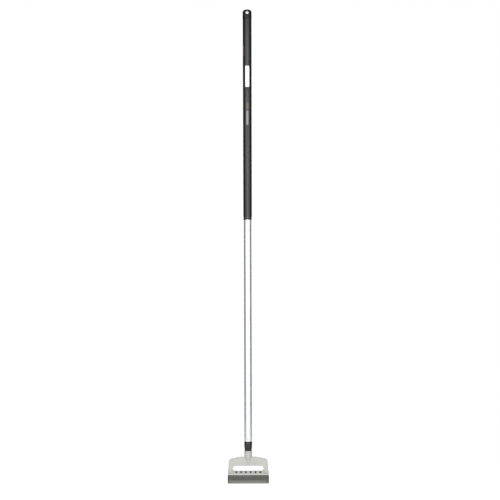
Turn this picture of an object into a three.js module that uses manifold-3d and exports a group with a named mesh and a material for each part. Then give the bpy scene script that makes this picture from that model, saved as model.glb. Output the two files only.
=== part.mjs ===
// Long-handled snow brush and scraper.
// Millimetres, +Z up along the pole, the working side of the head faces -Y.
// Heights are measured from the scraping edge; the last group moves the
// origin to the middle of the hanging hole.

import * as THREE from 'three';
import { mergeVertices } from 'three/addons/utils/BufferGeometryUtils.js';
import Module from 'manifold-3d';

const wasm = await Module();
wasm.setup();

// ---------------------------------------------------------------- dimensions

// Overall
const TOTAL_LENGTH = 1660;
const HEAD_WIDTH = 145;
const HEAD_HEIGHT = 116;

// Fits
const SEAT_GAP = 0.3;
const SLIDE_CLEARANCE = 0.25;
const HOLE_CLEARANCE = 0.3;
const LEAD_IN_CHAMFER = 1;
const CUT_OVERRUN = 1;

// Pole tube
const TUBE_DIAMETER = 26.5;
const TUBE_WALL = 1.5;

// Grip sleeve and its lower end ring
const GRIP_LENGTH = 702;
const GRIP_TOP_WALL = 2.1;
const GRIP_BOTTOM_WALL = 1.5;
const GRIP_EDGE_RADIUS = 1.2;
const END_RING_HEIGHT = 8;
const END_RING_WALL = 1.8;
const END_RING_EDGE_RADIUS = 1.2;
const END_RING_GROOVE_HEIGHT = 3;

// Hanger cap
const CAP_HEIGHT = 33;
const CAP_OVERHANG = 0.2;
const CAP_CROWN_RADIUS = 10;
const CAP_PLUG_LENGTH = 38;
const CAP_FLAT_DEPTH = 2.8;
const CAP_FLAT_HEIGHT = 26;
const CAP_FLAT_SLOPE = 0.5;
const HANG_HOLE_DIAMETER = 12;
const HANG_HOLE_ROOF = 4.75;
const CAP_PIN_DIAMETER = 4;

// Inlays let into the front of the grip: drop of the middle below the sleeve's
// top, sideways place, width, height and corner radius of each
const INLAY_DEPTH = 0.9;
const INLAYS = [
  { name: 'label_panel', drop: 201.5, side: 0, width: 14.5, height: 74, corner: 3, material: 'label' },
  { name: 'accent_inlay', drop: 304.5, side: 0, width: 9.5, height: 24.5, corner: 3, material: 'accent' },
  { name: 'stripe_inlay', drop: 346, side: 0, width: 8, height: 50, corner: 3, material: 'stripe' },
  { name: 'side_inlay', drop: 111, side: -12.5, width: 3, height: 36, corner: 1.4, material: 'mark' },
];

// Collar: ferrule fixed in the tube, lock ring round its collet
const FERRULE_FLANGE_HEIGHT = 16.6;
const FERRULE_LIP = 0.4;
const FERRULE_PLUG_LENGTH = 42;
const FERRULE_PLUG_WALL = 3.95;
const RIVET_DIAMETER = 3.6;
const RIVET_HEAD_DIAMETER = 6;
const RIVET_HEAD_HEIGHT = 0.7;
const RIVET_HEIGHT_IN_TUBE = 20;
const COLLET_WALL = 1.95;
const COLLET_SLOT_WIDTH = 1.5;
const COLLET_SLOT_ROOT = 2;
const LOCK_RING_HEIGHT = 15.4;
const LOCK_RING_LIP = 2.25;
const LOCK_RING_FLUTES = 20;
const LOCK_RING_FLUTE_DEPTH = 0.5;

// Spigot of the head
const SPIGOT_FLAT = 1.8;
const SPIGOT_REACH = 78;
const SPIGOT_CHAMFER = 1.5;
const SPIGOT_PIN_DIAMETER = 4;
const SPIGOT_PIN_DROP = 12;

// Yoke
const NECK_WALL = 5.95;
const NECK_HEIGHT = 21.5;
const NECK_FOOT_DIAMETER = 10;
const NECK_FOOT_CLEAR = 6;
const NECK_FLARE_WALL = 3.2;
const YOKE_THICKNESS = 10;
const YOKE_EDGE_BEVEL = 1.5;
const YOKE_FLARE = 4.5;
const YOKE_SHOULDER_DROP = 5.5;
const YOKE_SHOULDER_RADIUS = 17;
const LEG_WIDTH = 20;
const WINDOW_HEIGHT = 17.4;
const WINDOW_CORNER_RADIUS = 6;
const STRIP_HEIGHT = 33.1;
const CROSSBAR_HEIGHT = 12.9;
const FOOT_FLANGE_HEIGHT = 5;
const FOOT_DEPTH = 14;
const FOOT_CHAMFER = 1;
const LEDGE_TOP_DEPTH = 6;
const LEDGE_INSET = 18.5;
const LEDGE_ROOT = 2;

// Clamp screws, nuts and bar
const SCREW_COUNT = 6;
const SCREW_ROW_INSET = 30.5;
const SCREW_RISE = 9.1;
const SCREW_DIAMETER = 3;
const SCREW_HEAD_DIAMETER = 5.5;
const SCREW_HEAD_HEIGHT = 3;
const SCREW_SOCKET_WIDTH = 2.5;
const SCREW_SOCKET_DEPTH = 1.5;
const NOTCH_CLEARANCE = 0.4;
const NOTCH_TAIL = 1;
const NOTCH_FLOOR = 4.4;
const NUT_WIDTH = 5.5;
const NUT_HEIGHT = 2.4;
const CLAMP_BAR_THICKNESS = 5;
const CLAMP_BAR_HEIGHT = 12;
const CLAMP_BAR_MARGIN = 4;
const CLAMP_BAR_CORNER_RADIUS = 3;
const CLAMP_BAR_BEVEL = 0.8;

// Blade
const BLADE_THICKNESS = 2;
const BLADE_EDGE_LAND = 0.9;
const BLADE_GRIND_HEIGHT = 5;

// Brush
const BLOCK_HEIGHT = 5;
const BLOCK_RIB_WIDTH = 5;
const BLOCK_RIB_HEIGHT = 3.2;
const BLOCK_RIB_DEPTH = 8;
const BRISTLE_TIP_HEIGHT = 12.6;
const BRISTLE_INSET = 1.2;
const END_CAP_THICKNESS = 3;
const END_CAP_BOTTOM = 3.7;
const END_CAP_CORNER_RADIUS = 2.5;
const END_SCREW_DIAMETER = 2.6;
const END_SCREW_HEAD_DIAMETER = 4.4;
const END_SCREW_HEAD_HEIGHT = 1.6;
const END_SCREW_LENGTH = 9;
const END_SCREW_CHAMFER = 0.3;

// Facets of round surfaces
const ROUND_SEGMENTS = 48;
const SMALL_SEGMENTS = 16;
const CURVE_SEGMENTS = 4;
const BEVEL_SEGMENTS = 2;

// ------------------------------------------------------------- derived sizes

const tubeRadius = TUBE_DIAMETER / 2;
const tubeBore = tubeRadius - TUBE_WALL;
const plugRadius = tubeBore - SLIDE_CLEARANCE;
const sleeveBore = tubeRadius + SLIDE_CLEARANCE;
const gripTopRadius = sleeveBore + GRIP_TOP_WALL;
const gripBottomRadius = sleeveBore + GRIP_BOTTOM_WALL;
const beadRadius = sleeveBore + END_RING_WALL;
const capRadius = gripTopRadius + CAP_OVERHANG;
const ferruleRadius = tubeRadius + FERRULE_LIP;
const socketRadius = plugRadius - FERRULE_PLUG_WALL;
const spigotRadius = socketRadius - SLIDE_CLEARANCE;
const colletRadius = socketRadius + COLLET_WALL;
const lockRingBore = colletRadius + SLIDE_CLEARANCE;
const lockRingBottomRadius = lockRingBore + LOCK_RING_LIP;
const neckRadius = socketRadius + NECK_WALL;

const lockRingBottom = HEAD_HEIGHT + SEAT_GAP;
const lockRingTop = lockRingBottom + LOCK_RING_HEIGHT;
const ferruleBottom = lockRingTop + SEAT_GAP;
const ferruleTop = ferruleBottom + FERRULE_FLANGE_HEIGHT;
const tubeBottom = ferruleTop + SEAT_GAP;
const capBottom = TOTAL_LENGTH - CAP_HEIGHT;
const tubeTop = capBottom - SEAT_GAP;
const gripTop = capBottom - SEAT_GAP;
const gripBottom = gripTop - GRIP_LENGTH + END_RING_HEIGHT;
const endRingTop = gripBottom - SEAT_GAP;
const hangHoleHeight = TOTAL_LENGTH - HANG_HOLE_ROOF - HANG_HOLE_DIAMETER / 2;
const colletBottom = lockRingBottom + SEAT_GAP;

const footHalf = HEAD_WIDTH / 2;
const shoulderHalf = footHalf - YOKE_FLARE;
const ledgeHalf = footHalf - LEDGE_INSET;
const windowWidth = HEAD_WIDTH - 2 * LEG_WIDTH;
const crossbarTop = STRIP_HEIGHT + CROSSBAR_HEIGHT;
const windowTop = crossbarTop + WINDOW_HEIGHT;
const screwHeight = STRIP_HEIGHT + SCREW_RISE;
const neckBottom = HEAD_HEIGHT - NECK_HEIGHT;
const neckFoot = windowTop + NECK_FOOT_CLEAR;

// The spigot's bore goes down into the neck's flare until the wall round it is
// as thin as the flare allows.
const flareSlope = (neckBottom - neckFoot) / (neckRadius - NECK_FOOT_DIAMETER / 2);
const spigotBoreBottom = neckBottom - (NECK_WALL - NECK_FLARE_WALL) * flareSlope;
const spigotBottom = spigotBoreBottom + SEAT_GAP;
const spigotTop = HEAD_HEIGHT + SPIGOT_REACH;

const bladeFront = SEAT_GAP;
const bladeBack = bladeFront + BLADE_THICKNESS;
const bladeTop = crossbarTop - SEAT_GAP;
const clampFront = bladeBack + SEAT_GAP;
const clampBack = clampFront + CLAMP_BAR_THICKNESS;
const blockTop = STRIP_HEIGHT - SEAT_GAP;
const blockBottom = blockTop - BLOCK_HEIGHT;
const blockHalfLength = footHalf - END_CAP_THICKNESS - SEAT_GAP;
const holeRadius = (SCREW_DIAMETER + HOLE_CLEARANCE * 2) / 2;

// ----------------------------------------------------------------- materials

const finish = (color, roughness, metalness = 0) =>
  new THREE.MeshStandardMaterial({ color, roughness, metalness });

const materials = {
  grip: () => finish(0x1c1c1e, 0.42),
  capPlastic: () => finish(0x18181a, 0.38),
  aluminium: () => finish(0xe6e8ea, 0.3, 0.85),
  label: () => finish(0xf2f3f4, 0.4),
  accent: () => finish(0x9a6038, 0.45),
  stripe: () => finish(0xa8a2a5, 0.45),
  mark: () => finish(0x6e3028, 0.5),
  yoke: () => finish(0xcbcbc6, 0.5),
  blade: () => finish(0x8c8a8a, 0.4, 0.7),
  steel: () => finish(0xb4b6b8, 0.35, 0.9),
  blackScrew: () => finish(0x202022, 0.4, 0.6),
  block: () => finish(0x45453f, 0.6),
  bristle: () => finish(0x55544e, 0.8),
};

// --------------------------------------------------------------- solid tools

// A geometry as a closed solid, for joining and cutting.
function solid(geometry) {
  const bare = (geometry.index ? geometry : mergeVertices(geometry)).clone();
  bare.deleteAttribute('normal');
  bare.deleteAttribute('uv');
  const merged = mergeVertices(bare, 1e-4);
  return new wasm.Manifold(new wasm.Mesh({
    numProp: 3,
    vertProperties: new Float32Array(merged.attributes.position.array),
    triVerts: new Uint32Array(merged.index.array),
  }));
}

// A finished solid as a geometry again.
function geometryOf(body) {
  const mesh = body.getMesh();
  const geometry = new THREE.BufferGeometry();
  geometry.setAttribute('position', new THREE.BufferAttribute(new Float32Array(mesh.vertProperties), 3));
  geometry.setIndex(new THREE.BufferAttribute(new Uint32Array(mesh.triVerts), 1));
  geometry.computeVertexNormals();
  return geometry;
}

// Turns an outline of [radius, height] points about the Z axis. The points run
// up the outside and, on a ring, down the inside back to the first.
function turned(outline, segments = ROUND_SEGMENTS) {
  const points = outline.map(([radius, height]) => new THREE.Vector2(radius, height));
  return new THREE.LatheGeometry(points, segments).rotateX(Math.PI / 2);
}

// A plain ring or, with no bore, a plain disc.
function ring(outer, inner, bottom, top, segments = ROUND_SEGMENTS) {
  const outline = [[inner, bottom], [outer, bottom], [outer, top], [inner, top]];
  return turned(inner > 0 ? [...outline, [inner, bottom]] : outline, segments);
}

// A quarter round of [radius, height] points for an outline.
function quarterRound(centreRadius, centreHeight, radius, fromDegrees, steps = CURVE_SEGMENTS) {
  return Array.from({ length: steps + 1 }, (_, step) => {
    const angle = THREE.MathUtils.degToRad(fromDegrees + (90 * step) / steps);
    return [centreRadius + radius * Math.cos(angle), centreHeight + radius * Math.sin(angle)];
  });
}

// A rounded rectangle round (x, y) as a shape.
function roundedRectangle(x, y, width, height, corner, Kind = THREE.Shape) {
  const shape = new Kind();
  const right = x + width / 2 - corner;
  const left = x - width / 2 + corner;
  const top = y + height / 2 - corner;
  const bottom = y - height / 2 + corner;
  shape.absarc(right, bottom, corner, -Math.PI / 2, 0, false);
  shape.absarc(right, top, corner, 0, Math.PI / 2, false);
  shape.absarc(left, top, corner, Math.PI / 2, Math.PI, false);
  shape.absarc(left, bottom, corner, Math.PI, Math.PI * 1.5, false);
  shape.closePath();
  return shape;
}

// A polygon of [x, y] corners as a shape.
function polygon(corners) {
  return new THREE.Shape(corners.map(([x, y]) => new THREE.Vector2(x, y)));
}

// An outline in X and Z, given thickness along Y from front to back.
function platePrism(shape, front, back, bevel = 0) {
  const geometry = new THREE.ExtrudeGeometry(shape, {
    depth: back - front - 2 * bevel,
    bevelEnabled: bevel > 0,
    bevelThickness: bevel,
    bevelSize: bevel,
    bevelOffset: -bevel,
    bevelSegments: BEVEL_SEGMENTS,
    curveSegments: CURVE_SEGMENTS,
  });
  return geometry.rotateX(Math.PI / 2).translate(0, back - bevel, 0);
}

// An outline in Y and Z, run along X from left to right.
function barPrism(shape, left, right) {
  const geometry = new THREE.ExtrudeGeometry(shape, {
    depth: right - left,
    bevelEnabled: false,
    curveSegments: CURVE_SEGMENTS,
  });
  const turn = new THREE.Matrix4().makeBasis(
    new THREE.Vector3(0, 1, 0),
    new THREE.Vector3(0, 0, 1),
    new THREE.Vector3(1, 0, 0),
  );
  return geometry.applyMatrix4(turn).translate(left, 0, 0);
}

// An outline in X and Y, raised along Z.
function upright(shape, bottom, top) {
  const geometry = new THREE.ExtrudeGeometry(shape, {
    depth: top - bottom,
    bevelEnabled: false,
    curveSegments: CURVE_SEGMENTS,
  });
  return geometry.translate(0, 0, bottom);
}

// Round rods along Y and along X.
function rodAlongY(radius, front, back, x, z, segments = SMALL_SEGMENTS) {
  const rod = new THREE.CylinderGeometry(radius, radius, back - front, segments);
  return rod.translate(x, (front + back) / 2, z);
}

function rodAlongX(radius, left, right, y, z, segments = SMALL_SEGMENTS) {
  const rod = new THREE.CylinderGeometry(radius, radius, right - left, segments);
  return rod.rotateZ(Math.PI / 2).translate((left + right) / 2, y, z);
}

function box(low, high) {
  const size = high.map((value, axis) => value - low[axis]);
  const middle = high.map((value, axis) => (value + low[axis]) / 2);
  return new THREE.BoxGeometry(...size).translate(...middle);
}

function named(name, geometry, material) {
  const mesh = new THREE.Mesh(geometry, materials[material]());
  mesh.name = name;
  return mesh;
}

// -------------------------------------------------------------------- handle

const handle = new THREE.Group();

// Drawn tube, drilled on both sides for the ferrule's rivets and for the cap's pin.
const rivetHeight = tubeBottom + RIVET_HEIGHT_IN_TUBE;
const capPinHeight = tubeTop - CAP_PLUG_LENGTH / 2;

function crossHole(radius, height) {
  return solid(rodAlongX(radius, -2 * capRadius, 2 * capRadius, 0, height));
}

const rivetHole = crossHole(RIVET_DIAMETER / 2 + SLIDE_CLEARANCE, rivetHeight);
const capPinHole = crossHole(CAP_PIN_DIAMETER / 2 + SLIDE_CLEARANCE, capPinHeight);

const tube = solid(ring(tubeRadius, tubeBore, tubeBottom, tubeTop))
  .subtract(rivetHole)
  .subtract(capPinHole);
handle.add(named('shaft_tube', geometryOf(tube), 'aluminium'));

// Grip sleeve: a long, slightly tapered tube with a pocket for each inlay.
function gripRadiusAt(height) {
  const share = (height - gripBottom) / (gripTop - gripBottom);
  return gripBottomRadius + (gripTopRadius - gripBottomRadius) * share;
}

// The sleeve's outer skin, moved inwards by an inset.
function gripSkin(inset, bottom, top) {
  return [
    [gripRadiusAt(bottom) - inset, bottom],
    [gripRadiusAt(top) - inset, top],
  ];
}

function inlayPrism(inlay, gap) {
  const outline = roundedRectangle(
    inlay.side,
    gripTop - inlay.drop,
    inlay.width + 2 * gap,
    inlay.height + 2 * gap,
    inlay.corner + gap,
  );
  return solid(platePrism(outline, -2 * capRadius, 0));
}

const gripBody = solid(turned([
  [sleeveBore, gripBottom],
  ...quarterRound(
    gripBottomRadius - GRIP_EDGE_RADIUS,
    gripBottom + GRIP_EDGE_RADIUS,
    GRIP_EDGE_RADIUS,
    -90,
  ),
  [gripTopRadius, gripTop],
  [sleeveBore, gripTop],
  [sleeveBore, gripBottom],
]));

// The layer of the sleeve that the pockets take away.
function gripLayer(depth) {
  const outside = gripSkin(-CUT_OVERRUN, gripBottom, gripTop);
  const inside = gripSkin(depth, gripBottom, gripTop);
  return solid(turned([inside[0], ...outside, inside[1], inside[0]]));
}

const pocketLayer = gripLayer(INLAY_DEPTH + SEAT_GAP);
const pockets = INLAYS.map((inlay) => inlayPrism(inlay, SEAT_GAP).intersect(pocketLayer));
const grip = pockets.reduce((body, pocket) => body.subtract(pocket), gripBody);
handle.add(named('grip_sleeve', geometryOf(grip), 'grip'));

// Inlays: thin curved plates flush with the sleeve's skin.
const inlayLayer = gripLayer(INLAY_DEPTH).intersect(gripBody);
for (const inlay of INLAYS) {
  handle.add(named(inlay.name, geometryOf(inlayPrism(inlay, 0).intersect(inlayLayer)), inlay.material));
}

// End ring: a bead below a groove, closing the sleeve's lower end.
const endRingBottom = endRingTop - END_RING_HEIGHT + SEAT_GAP;
const grooveRadius = beadRadius - END_RING_EDGE_RADIUS;
const beadTop = endRingTop - END_RING_GROOVE_HEIGHT;
const endRing = turned([
  [sleeveBore, endRingBottom],
  ...quarterRound(grooveRadius, endRingBottom + END_RING_EDGE_RADIUS, END_RING_EDGE_RADIUS, -90),
  ...quarterRound(grooveRadius, beadTop - END_RING_EDGE_RADIUS, END_RING_EDGE_RADIUS, 0),
  [grooveRadius, endRingTop],
  [sleeveBore, endRingTop],
  [sleeveBore, endRingBottom],
]);
handle.add(named('grip_end_ring', endRing, 'grip'));

// Hanger cap: dome with a hanging hole, plug in the tube, flat back.
const capPlugBottom = capBottom - CAP_PLUG_LENGTH;
const capTurned = solid(turned([
  [0, capPlugBottom],
  [plugRadius - LEAD_IN_CHAMFER, capPlugBottom],
  [plugRadius, capPlugBottom + LEAD_IN_CHAMFER],
  [plugRadius, capBottom],
  [capRadius, capBottom],
  ...quarterRound(capRadius - CAP_CROWN_RADIUS, TOTAL_LENGTH - CAP_CROWN_RADIUS, CAP_CROWN_RADIUS, 0),
  [0, TOTAL_LENGTH],
]));
const flatBottom = TOTAL_LENGTH - CAP_FLAT_HEIGHT;
const flatBack = capRadius - CAP_FLAT_DEPTH;
const cutBack = 2 * capRadius;
const backCut = solid(barPrism(polygon([
  [flatBack, flatBottom],
  [cutBack, flatBottom - CAP_FLAT_SLOPE * (cutBack - flatBack)],
  [cutBack, TOTAL_LENGTH + CUT_OVERRUN],
  [flatBack, TOTAL_LENGTH + CUT_OVERRUN],
]), -cutBack, cutBack));
const hangHole = solid(rodAlongY(
  HANG_HOLE_DIAMETER / 2, -cutBack, cutBack, 0, hangHoleHeight, SMALL_SEGMENTS * 2,
));
const cap = capTurned.subtract(backCut).subtract(hangHole).subtract(capPinHole);
handle.add(named('hanger_cap', geometryOf(cap), 'capPlastic'));

// Cap pin, hidden under the sleeve.
const capPinReach = tubeRadius - SLIDE_CLEARANCE;
handle.add(named(
  'cap_pin',
  rodAlongX(CAP_PIN_DIAMETER / 2, -capPinReach, capPinReach, 0, capPinHeight),
  'steel',
));

// ------------------------------------------------------------- locking collar

// A circle with one flat across its back, the section of the head's spigot.
function flattedCircle(radius, flatDepth) {
  const flatAngle = Math.acos((radius - flatDepth) / radius);
  const shape = new THREE.Shape();
  shape.absarc(0, 0, radius, Math.PI / 2 + flatAngle, Math.PI / 2 - flatAngle + 2 * Math.PI, false);
  shape.closePath();
  return shape;
}

const spigotBore = (bottom, top) => solid(
  upright(flattedCircle(socketRadius, SPIGOT_FLAT), bottom, top),
);

// Ferrule: plug in the tube, flange under its end, split collet below.
const ferrulePlugTop = ferruleTop + FERRULE_PLUG_LENGTH;
const ferruleTurned = solid(turned([
  [0, colletBottom],
  [colletRadius - LEAD_IN_CHAMFER, colletBottom],
  [colletRadius, colletBottom + LEAD_IN_CHAMFER],
  [colletRadius, ferruleBottom],
  [ferruleRadius, ferruleBottom],
  [ferruleRadius, ferruleTop - LEAD_IN_CHAMFER],
  [ferruleRadius - LEAD_IN_CHAMFER, ferruleTop],
  [plugRadius, ferruleTop],
  [plugRadius, ferrulePlugTop - LEAD_IN_CHAMFER],
  [plugRadius - LEAD_IN_CHAMFER, ferrulePlugTop],
  [0, ferrulePlugTop],
]));
const slotTop = ferruleBottom - COLLET_SLOT_ROOT;
const slotHalf = COLLET_SLOT_WIDTH / 2;
const slotBottom = colletBottom - CUT_OVERRUN;
const slots = [
  box([-slotHalf, -2 * colletRadius, slotBottom], [slotHalf, 2 * colletRadius, slotTop]),
  box([-2 * colletRadius, -slotHalf, slotBottom], [2 * colletRadius, slotHalf, slotTop]),
].map(solid);
const ferrule = ferruleTurned
  .subtract(spigotBore(slotBottom, ferrulePlugTop + CUT_OVERRUN))
  .subtract(rivetHole)
  .subtract(slots[0])
  .subtract(slots[1]);
handle.add(named('ferrule', geometryOf(ferrule), 'capPlastic'));

// Two short rivets hold the ferrule in the tube and stop clear of its bore.
const rivetInner = socketRadius + SEAT_GAP;
const rivetSeat = tubeRadius + SLIDE_CLEARANCE;
for (const [side, turn] of [['left', Math.PI], ['right', 0]]) {
  const rivet = turned([
    [0, rivetInner],
    [RIVET_DIAMETER / 2, rivetInner],
    [RIVET_DIAMETER / 2, rivetSeat],
    [RIVET_HEAD_DIAMETER / 2, rivetSeat],
    [RIVET_HEAD_DIAMETER / 2 - RIVET_HEAD_HEIGHT, rivetSeat + RIVET_HEAD_HEIGHT],
    [0, rivetSeat + RIVET_HEAD_HEIGHT],
  ], SMALL_SEGMENTS).rotateY(Math.PI / 2);
  const mesh = named(`ferrule_rivet_${side}`, rivet, 'steel');
  mesh.rotation.z = turn;
  mesh.position.z = rivetHeight;
  handle.add(mesh);
}

// Lock ring: a fluted cone that turns on the collet.
function flutedCircle(radius, flutes, depth) {
  const steps = flutes * CURVE_SEGMENTS;
  const corners = Array.from({ length: steps }, (_, step) => {
    const angle = (2 * Math.PI * step) / steps;
    const dip = Math.max(0, Math.cos(flutes * angle)) * depth;
    return [(radius - dip) * Math.cos(angle), (radius - dip) * Math.sin(angle)];
  });
  return polygon(corners);
}

// The fluted cone is a fluted prism drawn in towards its lower end.
function flutedCone() {
  const prism = upright(
    flutedCircle(ferruleRadius, LOCK_RING_FLUTES, LOCK_RING_FLUTE_DEPTH), lockRingBottom, lockRingTop,
  );
  const position = prism.attributes.position;
  const shrink = lockRingBottomRadius / ferruleRadius;
  for (let index = 0; index < position.count; index += 1) {
    if (position.getZ(index) < (lockRingBottom + lockRingTop) / 2) {
      position.setX(index, position.getX(index) * shrink);
      position.setY(index, position.getY(index) * shrink);
    }
  }
  return solid(prism);
}

const lockRing = flutedCone().subtract(
  solid(ring(lockRingBore, 0, lockRingBottom - CUT_OVERRUN, lockRingTop + CUT_OVERRUN)),
);
const lockRingMesh = named('lock_ring', geometryOf(lockRing), 'capPlastic');

// ---------------------------------------------------------------------- head

const head = new THREE.Group();

// Yoke outline: legs, rounded shoulders and a top edge that rises to the neck.
const shoulderTop = neckBottom - YOKE_SHOULDER_DROP;

function yokeOutline() {
  const shape = new THREE.Shape();
  shape.moveTo(-footHalf, STRIP_HEIGHT);
  shape.lineTo(footHalf, STRIP_HEIGHT);
  shape.lineTo(shoulderHalf, shoulderTop - YOKE_SHOULDER_RADIUS);
  shape.quadraticCurveTo(shoulderHalf, shoulderTop, shoulderHalf - YOKE_SHOULDER_RADIUS, shoulderTop);
  shape.quadraticCurveTo(shoulderHalf / 2, neckBottom, neckRadius, neckBottom);
  shape.lineTo(-neckRadius, neckBottom);
  shape.quadraticCurveTo(-shoulderHalf / 2, neckBottom, YOKE_SHOULDER_RADIUS - shoulderHalf, shoulderTop);
  shape.quadraticCurveTo(-shoulderHalf, shoulderTop, -shoulderHalf, shoulderTop - YOKE_SHOULDER_RADIUS);
  shape.closePath();
  shape.holes.push(roundedRectangle(
    0,
    crossbarTop + WINDOW_HEIGHT / 2,
    windowWidth,
    WINDOW_HEIGHT,
    WINDOW_CORNER_RADIUS,
    THREE.Path,
  ));
  return shape;
}

// Where the screws sit, from left to right.
const screwPitch = (HEAD_WIDTH - 2 * SCREW_ROW_INSET) / (SCREW_COUNT - 1);
const screwPlaces = Array.from(
  { length: SCREW_COUNT },
  (_, index) => (index - (SCREW_COUNT - 1) / 2) * screwPitch,
);

const ledgeBottom = STRIP_HEIGHT + FOOT_FLANGE_HEIGHT;
const yokeHalf = YOKE_THICKNESS / 2;
const plate = solid(platePrism(yokeOutline(), -yokeHalf, yokeHalf, YOKE_EDGE_BEVEL));
const neck = solid(turned([
  [0, neckFoot],
  [NECK_FOOT_DIAMETER / 2, neckFoot],
  [neckRadius, neckBottom],
  [neckRadius, HEAD_HEIGHT - LEAD_IN_CHAMFER],
  [neckRadius - LEAD_IN_CHAMFER, HEAD_HEIGHT],
  [0, HEAD_HEIGHT],
]));
const footFlange = solid(barPrism(polygon([
  [-FOOT_DEPTH, STRIP_HEIGHT],
  [0, STRIP_HEIGHT],
  [0, ledgeBottom],
  [FOOT_CHAMFER - FOOT_DEPTH, ledgeBottom],
  [-FOOT_DEPTH, ledgeBottom - FOOT_CHAMFER],
]), -footHalf, footHalf));
const ledge = solid(barPrism(polygon([
  [FOOT_CHAMFER - FOOT_DEPTH, ledgeBottom - LEDGE_ROOT],
  [-LEDGE_ROOT, ledgeBottom - LEDGE_ROOT],
  [-LEDGE_ROOT, crossbarTop],
  [-LEDGE_TOP_DEPTH, crossbarTop],
  [FOOT_CHAMFER - FOOT_DEPTH, ledgeBottom],
]), -ledgeHalf, ledgeHalf));
const rebate = solid(box([-HEAD_WIDTH, 0, 0], [HEAD_WIDTH, HEAD_WIDTH, crossbarTop + SEAT_GAP]));

// Channel under the foot that the brush block's rib slides into.
const ribFront = -BLOCK_RIB_DEPTH - BLOCK_RIB_WIDTH / 2;
const ribBack = ribFront + BLOCK_RIB_WIDTH;
const ribTop = blockTop + BLOCK_RIB_HEIGHT;
const channel = solid(box(
  [-HEAD_WIDTH, ribFront - SEAT_GAP, STRIP_HEIGHT - CUT_OVERRUN],
  [HEAD_WIDTH, ribBack + SEAT_GAP, ribTop + SEAT_GAP],
));

// Open notch round a screw's head, drawn down past it, and its clearance hole.
const notchRadius = SCREW_HEAD_DIAMETER / 2 + NOTCH_CLEARANCE;
function screwCut(x) {
  const notch = new THREE.Shape();
  notch.moveTo(x - notchRadius, crossbarTop + CUT_OVERRUN);
  notch.lineTo(x - notchRadius, screwHeight - NOTCH_TAIL);
  notch.absarc(x, screwHeight - NOTCH_TAIL, notchRadius, Math.PI, 2 * Math.PI, false);
  notch.lineTo(x + notchRadius, crossbarTop + CUT_OVERRUN);
  notch.closePath();
  const pocket = solid(platePrism(notch, -2 * FOOT_DEPTH, -NOTCH_FLOOR));
  return pocket.add(screwHole(x));
}

function screwHole(x) {
  return solid(rodAlongY(holeRadius, -2 * FOOT_DEPTH, 2 * FOOT_DEPTH, x, screwHeight));
}

const spigotPinHeight = HEAD_HEIGHT - SPIGOT_PIN_DROP;
const spigotPinHole = crossHole(SPIGOT_PIN_DIAMETER / 2 + SLIDE_CLEARANCE, spigotPinHeight);
const yokeBlank = plate.add(neck).add(footFlange).add(ledge)
  .subtract(rebate)
  .subtract(channel)
  .subtract(spigotBore(spigotBoreBottom, HEAD_HEIGHT + CUT_OVERRUN))
  .subtract(spigotPinHole);
const yoke = screwPlaces.reduce((body, x) => body.subtract(screwCut(x)), yokeBlank);
head.add(named('head_yoke', geometryOf(yoke), 'yoke'));

// Spigot: a rod with one flat, chamfered at the top and pinned in the neck.
const spigotChamferCone = solid(turned([
  [0, spigotBottom],
  [spigotRadius + CUT_OVERRUN, spigotBottom],
  [spigotRadius + CUT_OVERRUN, spigotTop - SPIGOT_CHAMFER - CUT_OVERRUN],
  [spigotRadius - SPIGOT_CHAMFER, spigotTop],
  [0, spigotTop],
]));
const spigot = solid(upright(flattedCircle(spigotRadius, SPIGOT_FLAT), spigotBottom, spigotTop))
  .intersect(spigotChamferCone)
  .subtract(spigotPinHole);
head.add(named('head_spigot', geometryOf(spigot), 'aluminium'));

const spigotPinReach = neckRadius - SLIDE_CLEARANCE;
head.add(named(
  'spigot_pin',
  rodAlongX(SPIGOT_PIN_DIAMETER / 2, -spigotPinReach, spigotPinReach, 0, spigotPinHeight),
  'steel',
));

// Blade: a plate with a ground edge, clamped behind the yoke.
const bladeBlank = solid(barPrism(polygon([
  [bladeFront, 0],
  [bladeFront + BLADE_EDGE_LAND, 0],
  [bladeBack, BLADE_GRIND_HEIGHT],
  [bladeBack, bladeTop],
  [bladeFront, bladeTop],
]), -footHalf, footHalf));
const blade = screwPlaces.reduce((body, x) => body.subtract(screwHole(x)), bladeBlank);
head.add(named('scraper_blade', geometryOf(blade), 'blade'));

// Clamp bar: a strip behind the blade with a pocket for each nut.
const barTop = bladeTop;
const barHalf = footHalf - CLAMP_BAR_MARGIN;
const nutBack = clampBack;
const nutFront = nutBack - NUT_HEIGHT;

// A hexagon of a given width across flats, flats above and below.
function hexagon(width, x = 0, z = 0) {
  const corner = width / Math.sqrt(3);
  return polygon(Array.from({ length: 6 }, (_, side) => {
    const angle = (side * Math.PI) / 3;
    return [x + corner * Math.cos(angle), z + corner * Math.sin(angle)];
  }));
}

const clampBlank = solid(platePrism(
  roundedRectangle(
    0,
    barTop - CLAMP_BAR_HEIGHT / 2,
    2 * barHalf,
    CLAMP_BAR_HEIGHT,
    CLAMP_BAR_CORNER_RADIUS,
  ),
  clampFront,
  clampBack,
  CLAMP_BAR_BEVEL,
));
const clampBar = screwPlaces.reduce((body, x) => body
  .subtract(screwHole(x))
  .subtract(solid(platePrism(
    hexagon(NUT_WIDTH + 2 * SLIDE_CLEARANCE, x, screwHeight),
    nutFront - SEAT_GAP,
    clampBack + CUT_OVERRUN,
  ))), clampBlank);
head.add(named('clamp_bar', geometryOf(clampBar), 'block'));

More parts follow.
